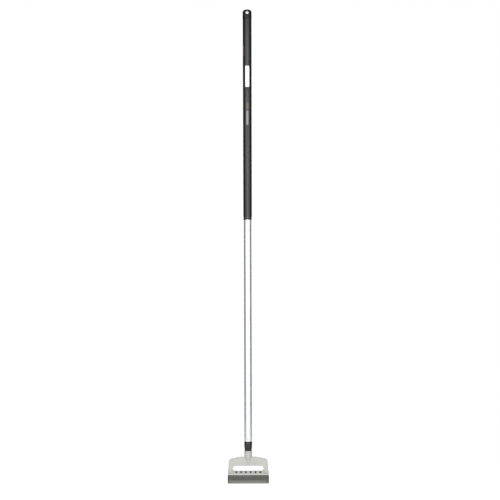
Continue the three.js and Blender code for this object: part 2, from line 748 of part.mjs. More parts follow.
// Screws and nuts, each a mesh of its own placed along the crossbar.
const screwSeat = -NOTCH_FLOOR - SEAT_GAP;
const screwFront = screwSeat - SCREW_HEAD_HEIGHT;
const screwHead = solid(rodAlongY(SCREW_HEAD_DIAMETER / 2, screwFront, screwSeat, 0, 0));
const screwShank = solid(rodAlongY(SCREW_DIAMETER / 2, screwSeat - CUT_OVERRUN, clampBack, 0, 0));
const screwSocket = solid(platePrism(
  hexagon(SCREW_SOCKET_WIDTH),
  screwFront - CUT_OVERRUN,
  screwFront + SCREW_SOCKET_DEPTH,
));
const screwGeometry = geometryOf(screwHead.add(screwShank).subtract(screwSocket));
const nutGeometry = geometryOf(solid(platePrism(hexagon(NUT_WIDTH), nutFront, nutBack))
  .subtract(solid(rodAlongY(SCREW_DIAMETER / 2 + SLIDE_CLEARANCE, 0, 2 * FOOT_DEPTH, 0, 0))));

screwPlaces.forEach((x, index) => {
  for (const [name, geometry] of [['clamp_screw', screwGeometry], ['clamp_nut', nutGeometry]]) {
    const mesh = named(`${name}_${index + 1}`, geometry.clone(), 'blackScrew');
    mesh.position.set(x, 0, screwHeight);
    head.add(mesh);
  }
});

// --------------------------------------------------------------------- brush

// Block: a strip with a rib in the yoke's channel, tapped at both ends.
const blockFront = -FOOT_DEPTH;
const blockBack = -SEAT_GAP;
const endScrewDepth = (blockFront + blockBack) / 2;
const endScrewHeight = (blockTop + blockBottom) / 2;
const endScrewTip = blockHalfLength - END_SCREW_LENGTH + END_CAP_THICKNESS;
const endHoles = [-1, 1].map((side) => solid(rodAlongX(
  END_SCREW_DIAMETER / 2 + SLIDE_CLEARANCE,
  Math.min(side * (endScrewTip - SEAT_GAP), side * HEAD_WIDTH),
  Math.max(side * (endScrewTip - SEAT_GAP), side * HEAD_WIDTH),
  endScrewDepth,
  endScrewHeight,
)));
const block = solid(barPrism(polygon([
  [blockFront, blockBottom],
  [blockBack, blockBottom],
  [blockBack, blockTop],
  [ribBack, blockTop],
  [ribBack, ribTop],
  [ribFront, ribTop],
  [ribFront, blockTop],
  [blockFront, blockTop],
]), -blockHalfLength, blockHalfLength))
  .subtract(endHoles[0])
  .subtract(endHoles[1]);
head.add(named('brush_block', geometryOf(block), 'block'));

// Bristles: the outer shape of the trimmed tufts.
head.add(named('bristle_strip', box(
  [-blockHalfLength + BRISTLE_INSET, blockFront + BRISTLE_INSET, BRISTLE_TIP_HEIGHT],
  [blockHalfLength - BRISTLE_INSET, blockBack - BRISTLE_INSET, blockBottom - SEAT_GAP],
), 'bristle'));

// End caps: cheeks that close the block and guard the bristles' ends.
for (const [name, side] of [['left', -1], ['right', 1]]) {
  const inner = side * (footHalf - END_CAP_THICKNESS);
  const outer = side * footHalf;
  const cheek = solid(barPrism(
    roundedRectangle(
      (blockFront + blockBack) / 2,
      (END_CAP_BOTTOM + blockTop) / 2,
      blockBack - blockFront,
      blockTop - END_CAP_BOTTOM,
      END_CAP_CORNER_RADIUS,
    ),
    Math.min(inner, outer),
    Math.max(inner, outer),
  ));
  const counterbore = solid(rodAlongX(
    END_SCREW_HEAD_DIAMETER / 2 + SLIDE_CLEARANCE,
    Math.min(side * (footHalf - END_SCREW_HEAD_HEIGHT - SEAT_GAP), side * HEAD_WIDTH),
    Math.max(side * (footHalf - END_SCREW_HEAD_HEIGHT - SEAT_GAP), side * HEAD_WIDTH),
    endScrewDepth,
    endScrewHeight,
  ));
  const hole = endHoles[side < 0 ? 0 : 1];
  head.add(named(`end_cap_${name}`, geometryOf(cheek.subtract(counterbore).subtract(hole)), 'block'));

  const screw = turned([
    [0, endScrewTip],
    [END_SCREW_DIAMETER / 2, endScrewTip],
    [END_SCREW_DIAMETER / 2, footHalf - END_SCREW_HEAD_HEIGHT],
    [END_SCREW_HEAD_DIAMETER / 2, footHalf - END_SCREW_HEAD_HEIGHT],
    [END_SCREW_HEAD_DIAMETER / 2, footHalf - END_SCREW_CHAMFER],
    [END_SCREW_HEAD_DIAMETER / 2 - END_SCREW_CHAMFER, footHalf],
    [0, footHalf],
  ], SMALL_SEGMENTS).rotateY(Math.PI / 2);
  const mesh = named(`end_screw_${name}`, screw, 'blackScrew');
  mesh.rotation.z = side < 0 ? Math.PI : 0;
  mesh.position.set(0, endScrewDepth, endScrewHeight);
  head.add(mesh);
}

// ------------------------------------------------------------------ assembly

const scraper = new THREE.Group();
scraper.add(handle, lockRingMesh, head);
scraper.position.z = -hangHoleHeight;

export default scraper;
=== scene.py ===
"""The looks of a long-handled snow brush and scraper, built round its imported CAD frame.

Everything is in metres in the CAD frame: +Z up the pole, X across the head, the brush side faces -Y, and
the origin is the middle of the hanging hole. The sections follow the tool as it is put together.
"""

import math

import bmesh
import bpy
from mathutils import Matrix, Vector


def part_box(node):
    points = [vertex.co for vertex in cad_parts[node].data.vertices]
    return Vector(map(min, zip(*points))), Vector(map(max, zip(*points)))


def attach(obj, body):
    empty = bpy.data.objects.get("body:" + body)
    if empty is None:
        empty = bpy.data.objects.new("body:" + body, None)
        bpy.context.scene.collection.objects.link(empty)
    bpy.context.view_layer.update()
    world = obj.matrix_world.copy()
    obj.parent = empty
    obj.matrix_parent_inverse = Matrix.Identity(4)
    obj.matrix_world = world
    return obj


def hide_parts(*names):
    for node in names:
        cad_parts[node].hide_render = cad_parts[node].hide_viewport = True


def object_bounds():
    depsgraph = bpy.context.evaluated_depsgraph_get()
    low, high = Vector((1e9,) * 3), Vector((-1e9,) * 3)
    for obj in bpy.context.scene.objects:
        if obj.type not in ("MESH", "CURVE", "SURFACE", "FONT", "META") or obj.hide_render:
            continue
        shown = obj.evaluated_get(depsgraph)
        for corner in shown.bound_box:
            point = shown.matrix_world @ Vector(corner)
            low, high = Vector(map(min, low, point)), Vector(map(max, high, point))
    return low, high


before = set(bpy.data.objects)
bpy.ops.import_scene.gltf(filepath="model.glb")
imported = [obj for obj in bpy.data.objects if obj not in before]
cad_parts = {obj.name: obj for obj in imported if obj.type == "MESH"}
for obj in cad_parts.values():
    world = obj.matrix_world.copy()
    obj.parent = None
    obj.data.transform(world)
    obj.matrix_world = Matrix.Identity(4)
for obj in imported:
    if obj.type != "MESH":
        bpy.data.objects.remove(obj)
cad_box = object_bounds()
MM = 0.001

# ------------------------------------------------------------------ studio
# A small pale floor, a wide soft light beside the camera and two weak strips at the sides. The camera stands
# level with the middle of the pole, straight in front of it, and is rolled by a hair.

floor_drop = 0.13
floor_size = 2.4
lens_mm = 100.0
sensor_mm = 36.0
frame_height = 1.7510
axis_left_of_middle = 0.0081
middle_above_centre = 0.0114
lean = math.radians(0.15)

low, high = cad_box
middle_height = (low.z + high.z) / 2
camera_distance = frame_height * lens_mm / sensor_mm
camera_data = bpy.data.cameras.new("studio_camera")
camera_data.lens = lens_mm
camera_data.sensor_width = sensor_mm
camera_data.clip_end = 60.0
camera = bpy.data.objects.new("studio_camera", camera_data)
bpy.context.scene.collection.objects.link(camera)
camera.location = (axis_left_of_middle, -camera_distance, middle_height - middle_above_centre)
camera.rotation_euler = (math.radians(90), lean, 0)
bpy.context.scene.camera = camera


def new_object(name, mesh):
    """An object at the origin that holds a finished mesh."""
    made = bpy.data.objects.new(name, mesh)
    bpy.context.scene.collection.objects.link(made)
    return made


def feed(tree, socket, value):
    """Links a node's input to a figure or an output, or sets it to a plain value."""
    value = getattr(value, "socket", value)
    if isinstance(value, bpy.types.NodeSocket):
        tree.links.new(value, socket)
    else:
        socket.default_value = value


def add_node(tree, kind, **values):
    """A node with its settings, whose names are in small letters, and its inputs, whose names are not."""
    node = tree.nodes.new(kind)
    for label, value in values.items():
        if label[0].islower():
            setattr(node, label, value)
        else:
            feed(tree, node.inputs[label.replace("_", " ")], value)
    return node


def maths(tree, operation, *values, clamp=False):
    """A Math node of figures, outputs or numbers."""
    node = add_node(tree, "ShaderNodeMath", operation=operation, use_clamp=clamp)
    for socket, value in zip(node.inputs, values):
        feed(tree, socket, value)
    return Figure(tree, node.outputs[0])


class Figure:
    """A number in a node tree, whose sums and products are Math nodes."""

    def __init__(self, tree, socket):
        self.tree = tree
        self.socket = socket

    def __add__(self, other):
        return maths(self.tree, "ADD", self, other)

    def __sub__(self, other):
        return maths(self.tree, "SUBTRACT", self, other)

    def __rsub__(self, other):
        return maths(self.tree, "SUBTRACT", other, self)

    def __mul__(self, other):
        return maths(self.tree, "MULTIPLY", self, other)

    def __truediv__(self, other):
        return maths(self.tree, "DIVIDE", self, other)


def split(tree, vector):
    """The three figures of a vector."""
    return [Figure(tree, part) for part in add_node(tree, "ShaderNodeSeparateXYZ", Vector=vector).outputs]


def new_material(name, **values):
    """A material, its tree and its surface, whose inputs are set by name."""
    made = bpy.data.materials.new(name)
    made.use_nodes = True
    surface = made.node_tree.nodes["Principled BSDF"]
    for label, value in values.items():
        surface.inputs[label.replace("_", " ")].default_value = value
    return made, made.node_tree, surface


def studio_floor():
    """A square floor below the hanging tool, so pale that it runs into the white behind it."""
    half = floor_size / 2
    level = low.z - floor_drop
    mesh = bpy.data.meshes.new("studio_floor")
    corners = [(-half, -half, level), (half, -half, level), (half, half, level), (-half, half, level)]
    mesh.from_pydata(corners, [], [(0, 1, 2, 3)])
    pale, tree, surface = new_material(
        "studio_floor", Base_Color=(0.9, 0.9, 0.9, 1), Roughness=0.9, Specular_IOR_Level=0.0,
        Emission_Color=(1, 1, 1, 1),
    )
    seen = tree.nodes.new("ShaderNodeLightPath").outputs["Is Camera Ray"]
    feed(tree, surface.inputs["Emission Strength"], maths(tree, "MULTIPLY_ADD", seen, 0.6, 0.4))
    mesh.materials.append(pale)
    new_object("studio_floor", mesh)


def area_light(name, place, size, power):
    """A rectangular soft light that faces the middle of the pole."""
    data = bpy.data.lights.new(name, "AREA")
    data.shape = "RECTANGLE"
    data.size, data.size_y = size
    data.energy = power
    made = new_object(name, data)
    made.location = place
    made.rotation_euler = (Vector((0, 0, middle_height)) - Vector(place)).to_track_quat("-Z", "Y").to_euler()


def studio_world():
    """White behind the tool. What lights it is bright in front, dim at its sides and fair at its back."""
    world = bpy.data.worlds.new("studio_world")
    bpy.context.scene.world = world
    world.use_nodes = True
    tree = world.node_tree
    tree.nodes.clear()
    walls = tree.nodes.new("ShaderNodeValToRGB")
    ramp = walls.color_ramp
    ramp.interpolation = "EASE"
    for place, strength in ((0.0, 1.4), (0.13, 1.35), (0.36, 0.03), (0.84, 0.04), (0.97, 0.6)):
        ramp.elements.new(place).color = (strength, strength, strength, 1)
    ramp.elements.remove(ramp.elements[-1])
    depth = split(tree, tree.nodes.new("ShaderNodeTexCoord").outputs["Generated"])[1]
    feed(tree, walls.inputs["Fac"], maths(tree, "MULTIPLY_ADD", depth, 0.5, 0.5))
    room = add_node(tree, "ShaderNodeBackground", Color=(0.98, 0.99, 1, 1), Strength=walls.outputs["Color"])
    behind = add_node(tree, "ShaderNodeBackground", Color=(1, 1, 1, 1), Strength=1.0)
    seen = tree.nodes.new("ShaderNodeLightPath").outputs["Is Camera Ray"]
    mix = add_node(tree, "ShaderNodeMixShader", Fac=seen)
    feed(tree, mix.inputs[1], room.outputs[0])
    feed(tree, mix.inputs[2], behind.outputs[0])
    add_node(tree, "ShaderNodeOutputWorld", Surface=mix.outputs[0])


studio_floor()
studio_world()
area_light("front_light", (0.0, -3.6, middle_height + 0.2), (1.5, 3.2), 28)
area_light("left_light", (-2.6, -1.6, middle_height), (0.5, 2.6), 5)
area_light("right_light", (2.6, -1.6, middle_height), (0.5, 2.6), 5)
area_light("back_light", (0.0, 3.4, middle_height + 0.6), (2.0, 2.6), 22)
area_light("top_light", (0.0, -0.8, high.z + 1.6), (2.0, 1.2), 10)
bpy.context.scene.view_settings.view_transform = "Standard"

# -------------------------------------------------------------- shaft tube
# The pole: a drawn and anodised aluminium tube, pale and satin, with faint draw lines along it. The grip is
# pushed over its upper half, and the ferrule is riveted in its lower end.

tube_wall = 1.5 * MM
tube_edge = 0.35 * MM
tube_segments = 128
grain_height = 0.1 * MM
flat_pointiness = 0.51
edge_contrast = 14.0


def mesh_object(name, form):
    """An object from a finished form, with its faces turned out."""
    bmesh.ops.recalc_face_normals(form, faces=form.faces)
    mesh = bpy.data.meshes.new(name)
    form.to_mesh(mesh)
    form.free()
    return new_object(name, mesh)


def turned(name, outline, segments=tube_segments):
    """Turns an outline of (radius, height) points about the pole's axis into a closed mesh."""
    form = bmesh.new()
    points = [form.verts.new((radius, 0, height)) for radius, height in outline]
    for first, second in zip(points, points[1:]):
        form.edges.new((first, second))
    bmesh.ops.spin(
        form, geom=form.verts[:] + form.edges[:], cent=(0, 0, 0), axis=(0, 0, 1),
        angle=math.tau, steps=segments, use_merge=True,
    )
    bmesh.ops.remove_doubles(form, verts=form.verts, dist=1e-6)
    return mesh_object(name, form)


def round_corner(centre, radius, from_degrees, steps=6):
    """A quarter round of (radius, height) points for an outline, counter-clockwise."""
    angles = [math.radians(from_degrees + 90 * step / steps) for step in range(steps + 1)]
    return [(centre[0] + radius * math.cos(a), centre[1] + radius * math.sin(a)) for a in angles]


def ring_outline(inner, outer, bottom, top, edge):
    """A ring's outline with its four edges rounded, closed on itself."""
    points = [
        *round_corner((outer - edge, bottom + edge), edge, -90),
        *round_corner((outer - edge, top - edge), edge, 0),
        *round_corner((inner + edge, top - edge), edge, 90),
        *round_corner((inner + edge, bottom + edge), edge, 180),
    ]
    return [*points, points[0]]


def smooth(piece, degrees=32):
    """Smooth shading that breaks at real edges."""
    piece.data.shade_smooth()
    piece.data.set_sharp_from_angle(angle=math.radians(degrees))


def combined(tree, x=0.0, y=0.0, z=0.0):
    """A vector of three figures, outputs or numbers."""
    return add_node(tree, "ShaderNodeCombineXYZ", X=x, Y=y, Z=z).outputs[0]


def effect_group(name, sizes, results):
    """A shader node group of a place and named sizes: its tree, what it is given and what it makes."""
    tree = bpy.data.node_groups.new(name, "ShaderNodeTree")
    tree.interface.new_socket("Place", in_out="INPUT", socket_type="NodeSocketVector")
    for label, size in sizes.items():
        tree.interface.new_socket(label, in_out="INPUT", socket_type="NodeSocketFloat").default_value = size
    for label in results:
        tree.interface.new_socket(label, in_out="OUTPUT", socket_type="NodeSocketFloat")
    return tree, tree.nodes.new("NodeGroupInput").outputs, tree.nodes.new("NodeGroupOutput").inputs


def noise(tree, place, scale, detail):
    """Noise at a place, as a figure."""
    node = add_node(tree, "ShaderNodeTexNoise", Vector=place, Scale=scale, Detail=detail)
    return Figure(tree, node.outputs["Fac"])


def grain_group():
    """Moulded or blasted grain: a fine height, and a slow mottle for colour and gloss."""
    tree, given, made = effect_group(
        "surface_grain", {"Grain Size": 2500.0, "Mottle Size": 30.0}, ("Height", "Mottle"),
    )
    feed(tree, made["Height"], noise(tree, given["Place"], given["Grain Size"], 2.0))
    feed(tree, made["Mottle"], noise(tree, given["Place"], given["Mottle Size"], 4.0))
    return tree


def wear_group():
    """Rubbed edges: a mask of the convex edges, broken up by noise."""
    tree, given, made = effect_group("edge_wear", {"Amount": 0.5, "Break-up Size": 300.0}, ("Mask",))
    pointed = Figure(tree, tree.nodes.new("ShaderNodeNewGeometry").outputs["Pointiness"])
    sharp = maths(tree, "MULTIPLY", pointed - flat_pointiness, edge_contrast, clamp=True)
    broken = sharp * noise(tree, given["Place"], given["Break-up Size"], 3.0)
    feed(tree, made["Mask"], maths(tree, "MULTIPLY", broken, given["Amount"], clamp=True))
    return tree


def rubbed_group():
    """Handling marks: long faint scratches along the pole, as a mask."""
    tree, given, made = effect_group(
        "rubbed_lines", {"Line Size": 900.0, "Stretch": 0.01, "Coverage": 0.4}, ("Lines",),
    )
    longer = add_node(tree, "ShaderNodeVectorMath", operation="MULTIPLY")
    feed(tree, longer.inputs[0], given["Place"])
    feed(tree, longer.inputs[1], combined(tree, 1.0, 1.0, given["Stretch"]))
    above = noise(tree, longer.outputs["Vector"], given["Line Size"], 2.0) - 0.5
    feed(tree, made["Lines"], maths(tree, "MULTIPLY", above, 3.0, clamp=True) * given["Coverage"])
    return tree


surface_grain = grain_group()
edge_wear = wear_group()
rubbed_lines = rubbed_group()


def mixed_colour(tree, factor, first, second):
    """A colour between two, each an output or three numbers."""
    node = add_node(tree, "ShaderNodeMix", data_type="RGBA", Factor=factor)
    for socket, value in ((node.inputs[6], first), (node.inputs[7], second)):
        feed(tree, socket, (*value, 1) if isinstance(value, tuple) else value)
    return node.outputs[2]


def worked_finish(name, colour, shade, worn, roughness, spread, grain, mottle, bump, wear=0.4, lines=0.2,
                  metallic=0.0, coat=0.0, specular=0.5, along=None):
    """A finish in colour and shade, worn at its edges, with grain, scratches and uneven gloss."""
    made, tree, surface = new_material(
        name, Metallic=metallic, Coat_Weight=coat, Specular_IOR_Level=specular,
    )
    place = tree.nodes.new("ShaderNodeTexCoord").outputs["Object"]
    texture = add_node(
        tree, "ShaderNodeGroup", node_tree=surface_grain, Place=place, Grain_Size=grain, Mottle_Size=mottle,
    ).outputs
    edges = add_node(tree, "ShaderNodeGroup", node_tree=edge_wear, Place=place, Amount=wear)
    line_place = place
    if along:
        line_place = add_node(tree, "ShaderNodeMapping", Vector=place, Rotation=along).outputs["Vector"]
    marks = add_node(tree, "ShaderNodeGroup", node_tree=rubbed_lines, Place=line_place, Coverage=lines)
    scratches = Figure(tree, marks.outputs["Lines"])
    body = mixed_colour(tree, texture["Mottle"], colour, shade)
    marked = mixed_colour(tree, scratches * 0.5, body, worn)
    uneven = Figure(tree, texture["Mottle"]) * spread + (roughness - spread / 2)
    bumps = add_node(tree, "ShaderNodeBump", Strength=bump, Distance=grain_height, Height=texture["Height"])
    feed(tree, surface.inputs["Base Color"], mixed_colour(tree, edges.outputs["Mask"], marked, worn))
    feed(tree, surface.inputs["Roughness"], uneven - scratches * 0.12)
    feed(tree, surface.inputs["Normal"], bumps.outputs["Normal"])
    return made


def dress(piece, material, body, slot, *nodes):
    """Gives a finished piece its material and body and hides the CAD nodes that it stands for; the slot
    argument is not used.
    """
    piece.data.materials.clear()
    piece.data.materials.append(material)
    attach(piece, body)
    if nodes:
        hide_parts(*nodes)
    return piece


tube_low, tube_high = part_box("shaft_tube")
tube_radius = tube_high.x
anodised = worked_finish(
    "anodised_tube", (0.87, 0.88, 0.9), (0.8, 0.81, 0.83), (0.7, 0.71, 0.72), roughness=0.3, spread=0.12,
    grain=1800, mottle=12, bump=0.06, wear=0.2, lines=0.5, metallic=0.75,
)
tube = turned("pole_tube", ring_outline(
    tube_radius - tube_wall, tube_radius, tube_low.z, tube_high.z, tube_edge,
))
smooth(tube)
dress(tube, anodised, "handle", "tube_metal", "shaft_tube")

# ------------------------------------------------------------- grip sleeve
# The grip: a long black satin plastic sleeve, a hair thicker at the top, with a fine moulded grain. Shallow
# pockets in its front take four inlays, and a beaded ring closes its lower end.

grip_bottom_radius = 15.0 * MM
grip_clearance = 0.25 * MM
grip_edge = 1.2 * MM
pocket_depth = 1.2 * MM
inlay_depth = 0.9 * MM
inlay_gap = 0.3 * MM
pocket_edge = 0.25 * MM
pocket_over = 2 * MM
bead_edge = 1.6 * MM
bead_groove = 3 * MM
sleeve_segments = 192


def black_plastic(name, roughness, specular, grain=2200, mottle=45, bump=0.2, lines=0.2):
    """A black moulded plastic, scuffed to dark grey at its edges."""
    return worked_finish(
        name, (0.004, 0.004, 0.0045), (0.007, 0.007, 0.0075), (0.03, 0.03, 0.031), roughness=roughness,
        spread=0.1, grain=grain, mottle=mottle, bump=bump, wear=0.5, lines=lines, specular=specular,
    )


satin_black = black_plastic("satin_black_grip", 0.3, 0.68, grain=2600, mottle=22, lines=0.35)


def cut(piece, tool, operation="DIFFERENCE"):
    """Cuts a piece with a tool, joins them or keeps what they share, and drops the tool."""
    change = piece.modifiers.new("cut", "BOOLEAN")
    change.operation = operation
    change.solver = "EXACT"
    change.object = tool
    settle(piece)
    bpy.data.objects.remove(tool)
    return piece


def settle(piece):
    """Turns a piece and its modifiers into one plain mesh."""
    graph = bpy.context.evaluated_depsgraph_get()
    finished = bpy.data.meshes.new_from_object(piece.evaluated_get(graph))
    finished.name = piece.name
    piece.modifiers.clear()
    piece.data = finished
    return piece


def softened(piece, width, degrees=35, segments=2):
    """Rounds a piece's real edges by a small bevel."""
    change = piece.modifiers.new("edges", "BEVEL")
    change.width = width
    change.segments = segments
    change.limit_method = "ANGLE"
    change.angle_limit = math.radians(degrees)
    change.use_clamp_overlap = True
    settle(piece)
    smooth(piece)
    return piece


def rounded_outline(centre, width, height, corner, steps=8):
    """The corners of a rounded rectangle, counter-clockwise."""
    right, up = width / 2 - corner, height / 2 - corner
    middles = ((right, -up), (right, up), (-right, up), (-right, -up))
    points = []
    for start, (side, rise) in zip((-90, 0, 90, 180), middles):
        points += round_corner((centre[0] + side, centre[1] + rise), corner, start, steps)
    return points


def stacked(name, rows):
    """A closed form of rows of corners, with walls from row to row and a face at each end."""
    form = bmesh.new()
    rings = [[form.verts.new(corner) for corner in row] for row in rows]
    form.faces.new(rings[0])
    form.faces.new(rings[-1])
    for first, second in zip(rings, rings[1:]):
        for index in range(len(first)):
            following = (index + 1) % len(first)
            form.faces.new((first[index], first[following], second[following], second[index]))
    return mesh_object(name, form)


def prism(name, outline, low_end, high_end, axis="Y"):
    """An outline run straight along Y from X and Z, along X from Y and Z, or along Z from X and Y."""
    order = {"X": (2, 0, 1), "Y": (0, 2, 1), "Z": (0, 1, 2)}[axis]
    return stacked(name, [
        [tuple((*point, end)[part] for part in order) for point in outline] for end in (low_end, high_end)
    ])


sleeve_low, sleeve_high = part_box("grip_sleeve")
sleeve_bore = tube_radius + grip_clearance


def sleeve_radius(height, inset=0.0):
    """The sleeve's outer radius at a height, less an inset."""
    share = (height - sleeve_low.z) / (sleeve_high.z - sleeve_low.z)
    return grip_bottom_radius + (sleeve_high.x - grip_bottom_radius) * share - inset


def sleeve_layer(name, outer_inset, inner_inset):
    """A thin layer of the sleeve between two insets from its skin."""
    bottom, top = sleeve_low.z + grip_edge, sleeve_high.z - grip_edge
    outline = [
        (sleeve_radius(bottom, inner_inset), bottom),
        (sleeve_radius(bottom, outer_inset), bottom),
        (sleeve_radius(top, outer_inset), top),
        (sleeve_radius(top, inner_inset), top),
    ]
    return turned(name, [*outline, outline[0]], sleeve_segments)


def inlay_prism(name, node, gap, corner):
    """A rounded prism through the grip's front over one inlay's CAD node."""
    inlay_low, inlay_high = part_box(node)
    width = inlay_high.x - inlay_low.x + 2 * gap
    height = inlay_high.z - inlay_low.z + 2 * gap
    centre = ((inlay_high.x + inlay_low.x) / 2, (inlay_high.z + inlay_low.z) / 2)
    return prism(name, rounded_outline(centre, width, height, corner + gap), -2 * tube_radius, 0)


inlay_corners = {
    "label_panel": 3 * MM, "accent_inlay": 3 * MM, "stripe_inlay": 3 * MM, "side_inlay": 1.4 * MM,
}
sleeve = turned("grip_sleeve_skin", [
    (sleeve_bore, sleeve_low.z),
    *round_corner((grip_bottom_radius - grip_edge, sleeve_low.z + grip_edge), grip_edge, -90),
    (sleeve_radius(sleeve_high.z), sleeve_high.z),
    (sleeve_bore, sleeve_high.z),
    (sleeve_bore, sleeve_low.z),
], sleeve_segments)
for node, corner in inlay_corners.items():
    tool = cut(
        inlay_prism("pocket_tool", node, inlay_gap, corner),
        sleeve_layer("pocket_layer", -pocket_over, pocket_depth),
        "INTERSECT",
    )
    cut(sleeve, tool)
softened(sleeve, pocket_edge)
dress(sleeve, satin_black, "handle", "grip_plastic", "grip_sleeve")

ring_low, ring_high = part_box("grip_end_ring")
bead = ring_high.x
end_ring = turned("grip_bead_ring", [
    (sleeve_bore, ring_low.z),
    *round_corner((bead - bead_edge, ring_low.z + bead_edge), bead_edge, -90, 10),
    *round_corner((bead - bead_edge, ring_high.z - bead_groove - bead_edge), bead_edge, 0, 10),
    (bead - bead_edge, ring_high.z),
    (sleeve_bore, ring_high.z),
    (sleeve_bore, ring_low.z),
])
smooth(end_ring)
dress(end_ring, satin_black, "handle", "grip_plastic", "grip_end_ring")

# ------------------------------------------------------------------ inlays
# Four thin printed plates of satin film over plastic, pressed in the grip's pockets flush with its skin: a
# white panel, a small orange-brown plate, a pale grey stripe and a dull red dash. None carries lettering.

film_inset = 0.05 * MM
film_edge = 0.15 * MM
inlay_finishes = {
    "label_panel": ("label_white", (0.9, 0.91, 0.92), (0.84, 0.85, 0.86), 0.4),
    "accent_inlay": ("accent_orange", (0.113, 0.091, 0.056), (0.095, 0.076, 0.049), 0.45),
    "stripe_inlay": ("stripe_grey", (0.276, 0.249, 0.265), (0.235, 0.212, 0.226), 0.45),
    "side_inlay": ("mark_red", (0.11, 0.03, 0.025), (0.08, 0.025, 0.02), 0.5),
}
for node, (slot, colour, shade, roughness) in inlay_finishes.items():
    film = worked_finish(
        slot + "_film", colour, shade, (0.5, 0.49, 0.48), roughness=roughness, spread=0.1, grain=3000,
        mottle=60, bump=0.08, wear=0.25, lines=0.15, coat=0.15,
    )
    plate = cut(
        inlay_prism(node + "_plate", node, 0, inlay_corners[node]),
        sleeve_layer("inlay_layer", film_inset, inlay_depth),
        "INTERSECT",
    )
    softened(plate, film_edge)
    dress(plate, film, "handle", slot, node)

# -------------------------------------------------------------- hanger cap
# The cap: a black moulded dome with a hanging hole through it and a flat back. Its plug goes down the tube
# and a cross pin under the grip holds it there.

hole_diameter = 12 * MM
crown_radius = 10 * MM
cap_edge = 0.6 * MM
plug_chamfer = 1.0 * MM
hole_lip = 1.0 * MM
pin_chamfer = 0.4 * MM
back_flat_height = 26 * MM
back_flat_depth = 2.8 * MM
back_flat_slope = 0.5

cap_low, cap_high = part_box("hanger_cap")
cap_radius = cap_high.x
cap_seam = sleeve_high.z + inlay_gap
plug_radius = tube_radius - tube_wall - grip_clearance
matt_black = black_plastic("matt_black_cap", 0.42, 0.34, bump=0.25)


def rod(name, radius, low_end, high_end, centre, axis="Y", steps=48):
    """A plain round rod along an axis, as a tool or a pin."""
    outline = [
        (centre[0] + radius * math.cos(math.tau * step / steps),
         centre[1] + radius * math.sin(math.tau * step / steps))
        for step in range(steps)
    ]
    return prism(name, outline, low_end, high_end, axis)


def drill(piece, radius, low_end, high_end, centre, axis="Y", steps=32):
    """Cuts a round hole through a piece along an axis."""
    return cut(piece, rod("hole_tool", radius, low_end, high_end, centre, axis, steps))


cap = turned("hanger_dome", [
    (0, cap_low.z),
    (plug_radius - plug_chamfer, cap_low.z),
    (plug_radius, cap_low.z + plug_chamfer),
    (plug_radius, cap_seam),
    *round_corner((cap_radius - cap_edge, cap_seam + cap_edge), cap_edge, -90, 4),
    *round_corner((cap_radius - crown_radius, cap_high.z - crown_radius), crown_radius, 0, 16),
    (0, cap_high.z),
])
flat_low = cap_high.z - back_flat_height
flat_back = cap_radius - back_flat_depth
cut(cap, prism("back_tool", [
    (flat_back, flat_low),
    (2 * cap_radius, flat_low - back_flat_slope * (2 * cap_radius - flat_back)),
    (2 * cap_radius, cap_high.z + plug_chamfer),
    (flat_back, cap_high.z + plug_chamfer),
], -2 * cap_radius, 2 * cap_radius, "X"))
drill(cap, hole_diameter / 2, -2 * cap_radius, 2 * cap_radius, (0, 0), steps=96)
softened(cap, hole_lip, segments=4)
dress(cap, matt_black, "handle", "cap_plastic", "hanger_cap")

zinc = worked_finish(
    "zinc_plate", (0.56, 0.57, 0.58), (0.48, 0.49, 0.5), (0.72, 0.72, 0.72), roughness=0.32, spread=0.15,
    grain=2000, mottle=80, bump=0.1, wear=0.3, lines=0.1, metallic=0.95,
)


def cross_pin(name, node):
    """A straight pin across the pole with chamfered ends, over its CAD node."""
    pin_low, pin_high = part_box(node)
    centre = ((pin_low.y + pin_high.y) / 2, (pin_low.z + pin_high.z) / 2)
    made = rod(name, (pin_high.z - pin_low.z) / 2, pin_low.x, pin_high.x, centre, "X")
    return softened(made, pin_chamfer)


dress(cross_pin("cap_cross_pin", "cap_pin"), zinc, "handle", "fastener_steel", "cap_pin")

# ---------------------------------------------------- ferrule and lock ring
# The ferrule: a black moulding whose plug is riveted in the tube, with a flange under the tube's end and a
# slotted collet below. The fluted lock ring turns on the collet and closes it on the head's spigot.

flange_edge = 0.7 * MM
collet_edge = 0.2 * MM
collet_radius = 9.5 * MM
socket_radius = 7.55 * MM
spigot_flat = 1.8 * MM
slot_width = 1.5 * MM
slot_root = 2 * MM
rivet_place = 20 * MM
rivet_radius = 1.8 * MM
rivet_head_height = 0.7 * MM
rivet_head_edge = 0.65 * MM
ring_foot_radius = 12.0 * MM
ring_edge = 0.5 * MM
flute_depth = 0.5 * MM
flutes = 20.0
sides = (("left", -1), ("right", 1))

ferrule_low, ferrule_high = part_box("ferrule")
lock_low, lock_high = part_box("lock_ring")
flange_low = lock_high.z + inlay_gap
flange_high = tube_low.z - inlay_gap
flange_radius = ferrule_high.x
moulded_black = black_plastic("moulded_black", 0.34, 0.6)


def flatted_circle(radius, flat, steps=64):
    """A circle with one flat across its back."""
    half = math.acos((radius - flat) / radius)
    sweep = math.tau - 2 * half
    start = math.pi / 2 + half
    return [
        (radius * math.cos(start + sweep * step / steps), radius * math.sin(start + sweep * step / steps))
        for step in range(steps + 1)
    ]


def rectangle(left, bottom, right, top):
    """The corners of a rectangle, counter-clockwise."""
    return [(left, bottom), (right, bottom), (right, top), (left, top)]


def laid_across(piece, side, depth, height):
    """Lays a piece that was turned about Z along X, towards a side, at a depth and height."""
    face = Matrix.Rotation(0 if side > 0 else math.pi, 4, "Z")
    place = Matrix.Translation((0, depth, height))
    piece.data.transform(place @ face @ Matrix.Rotation(math.pi / 2, 4, "Y"))
    return piece


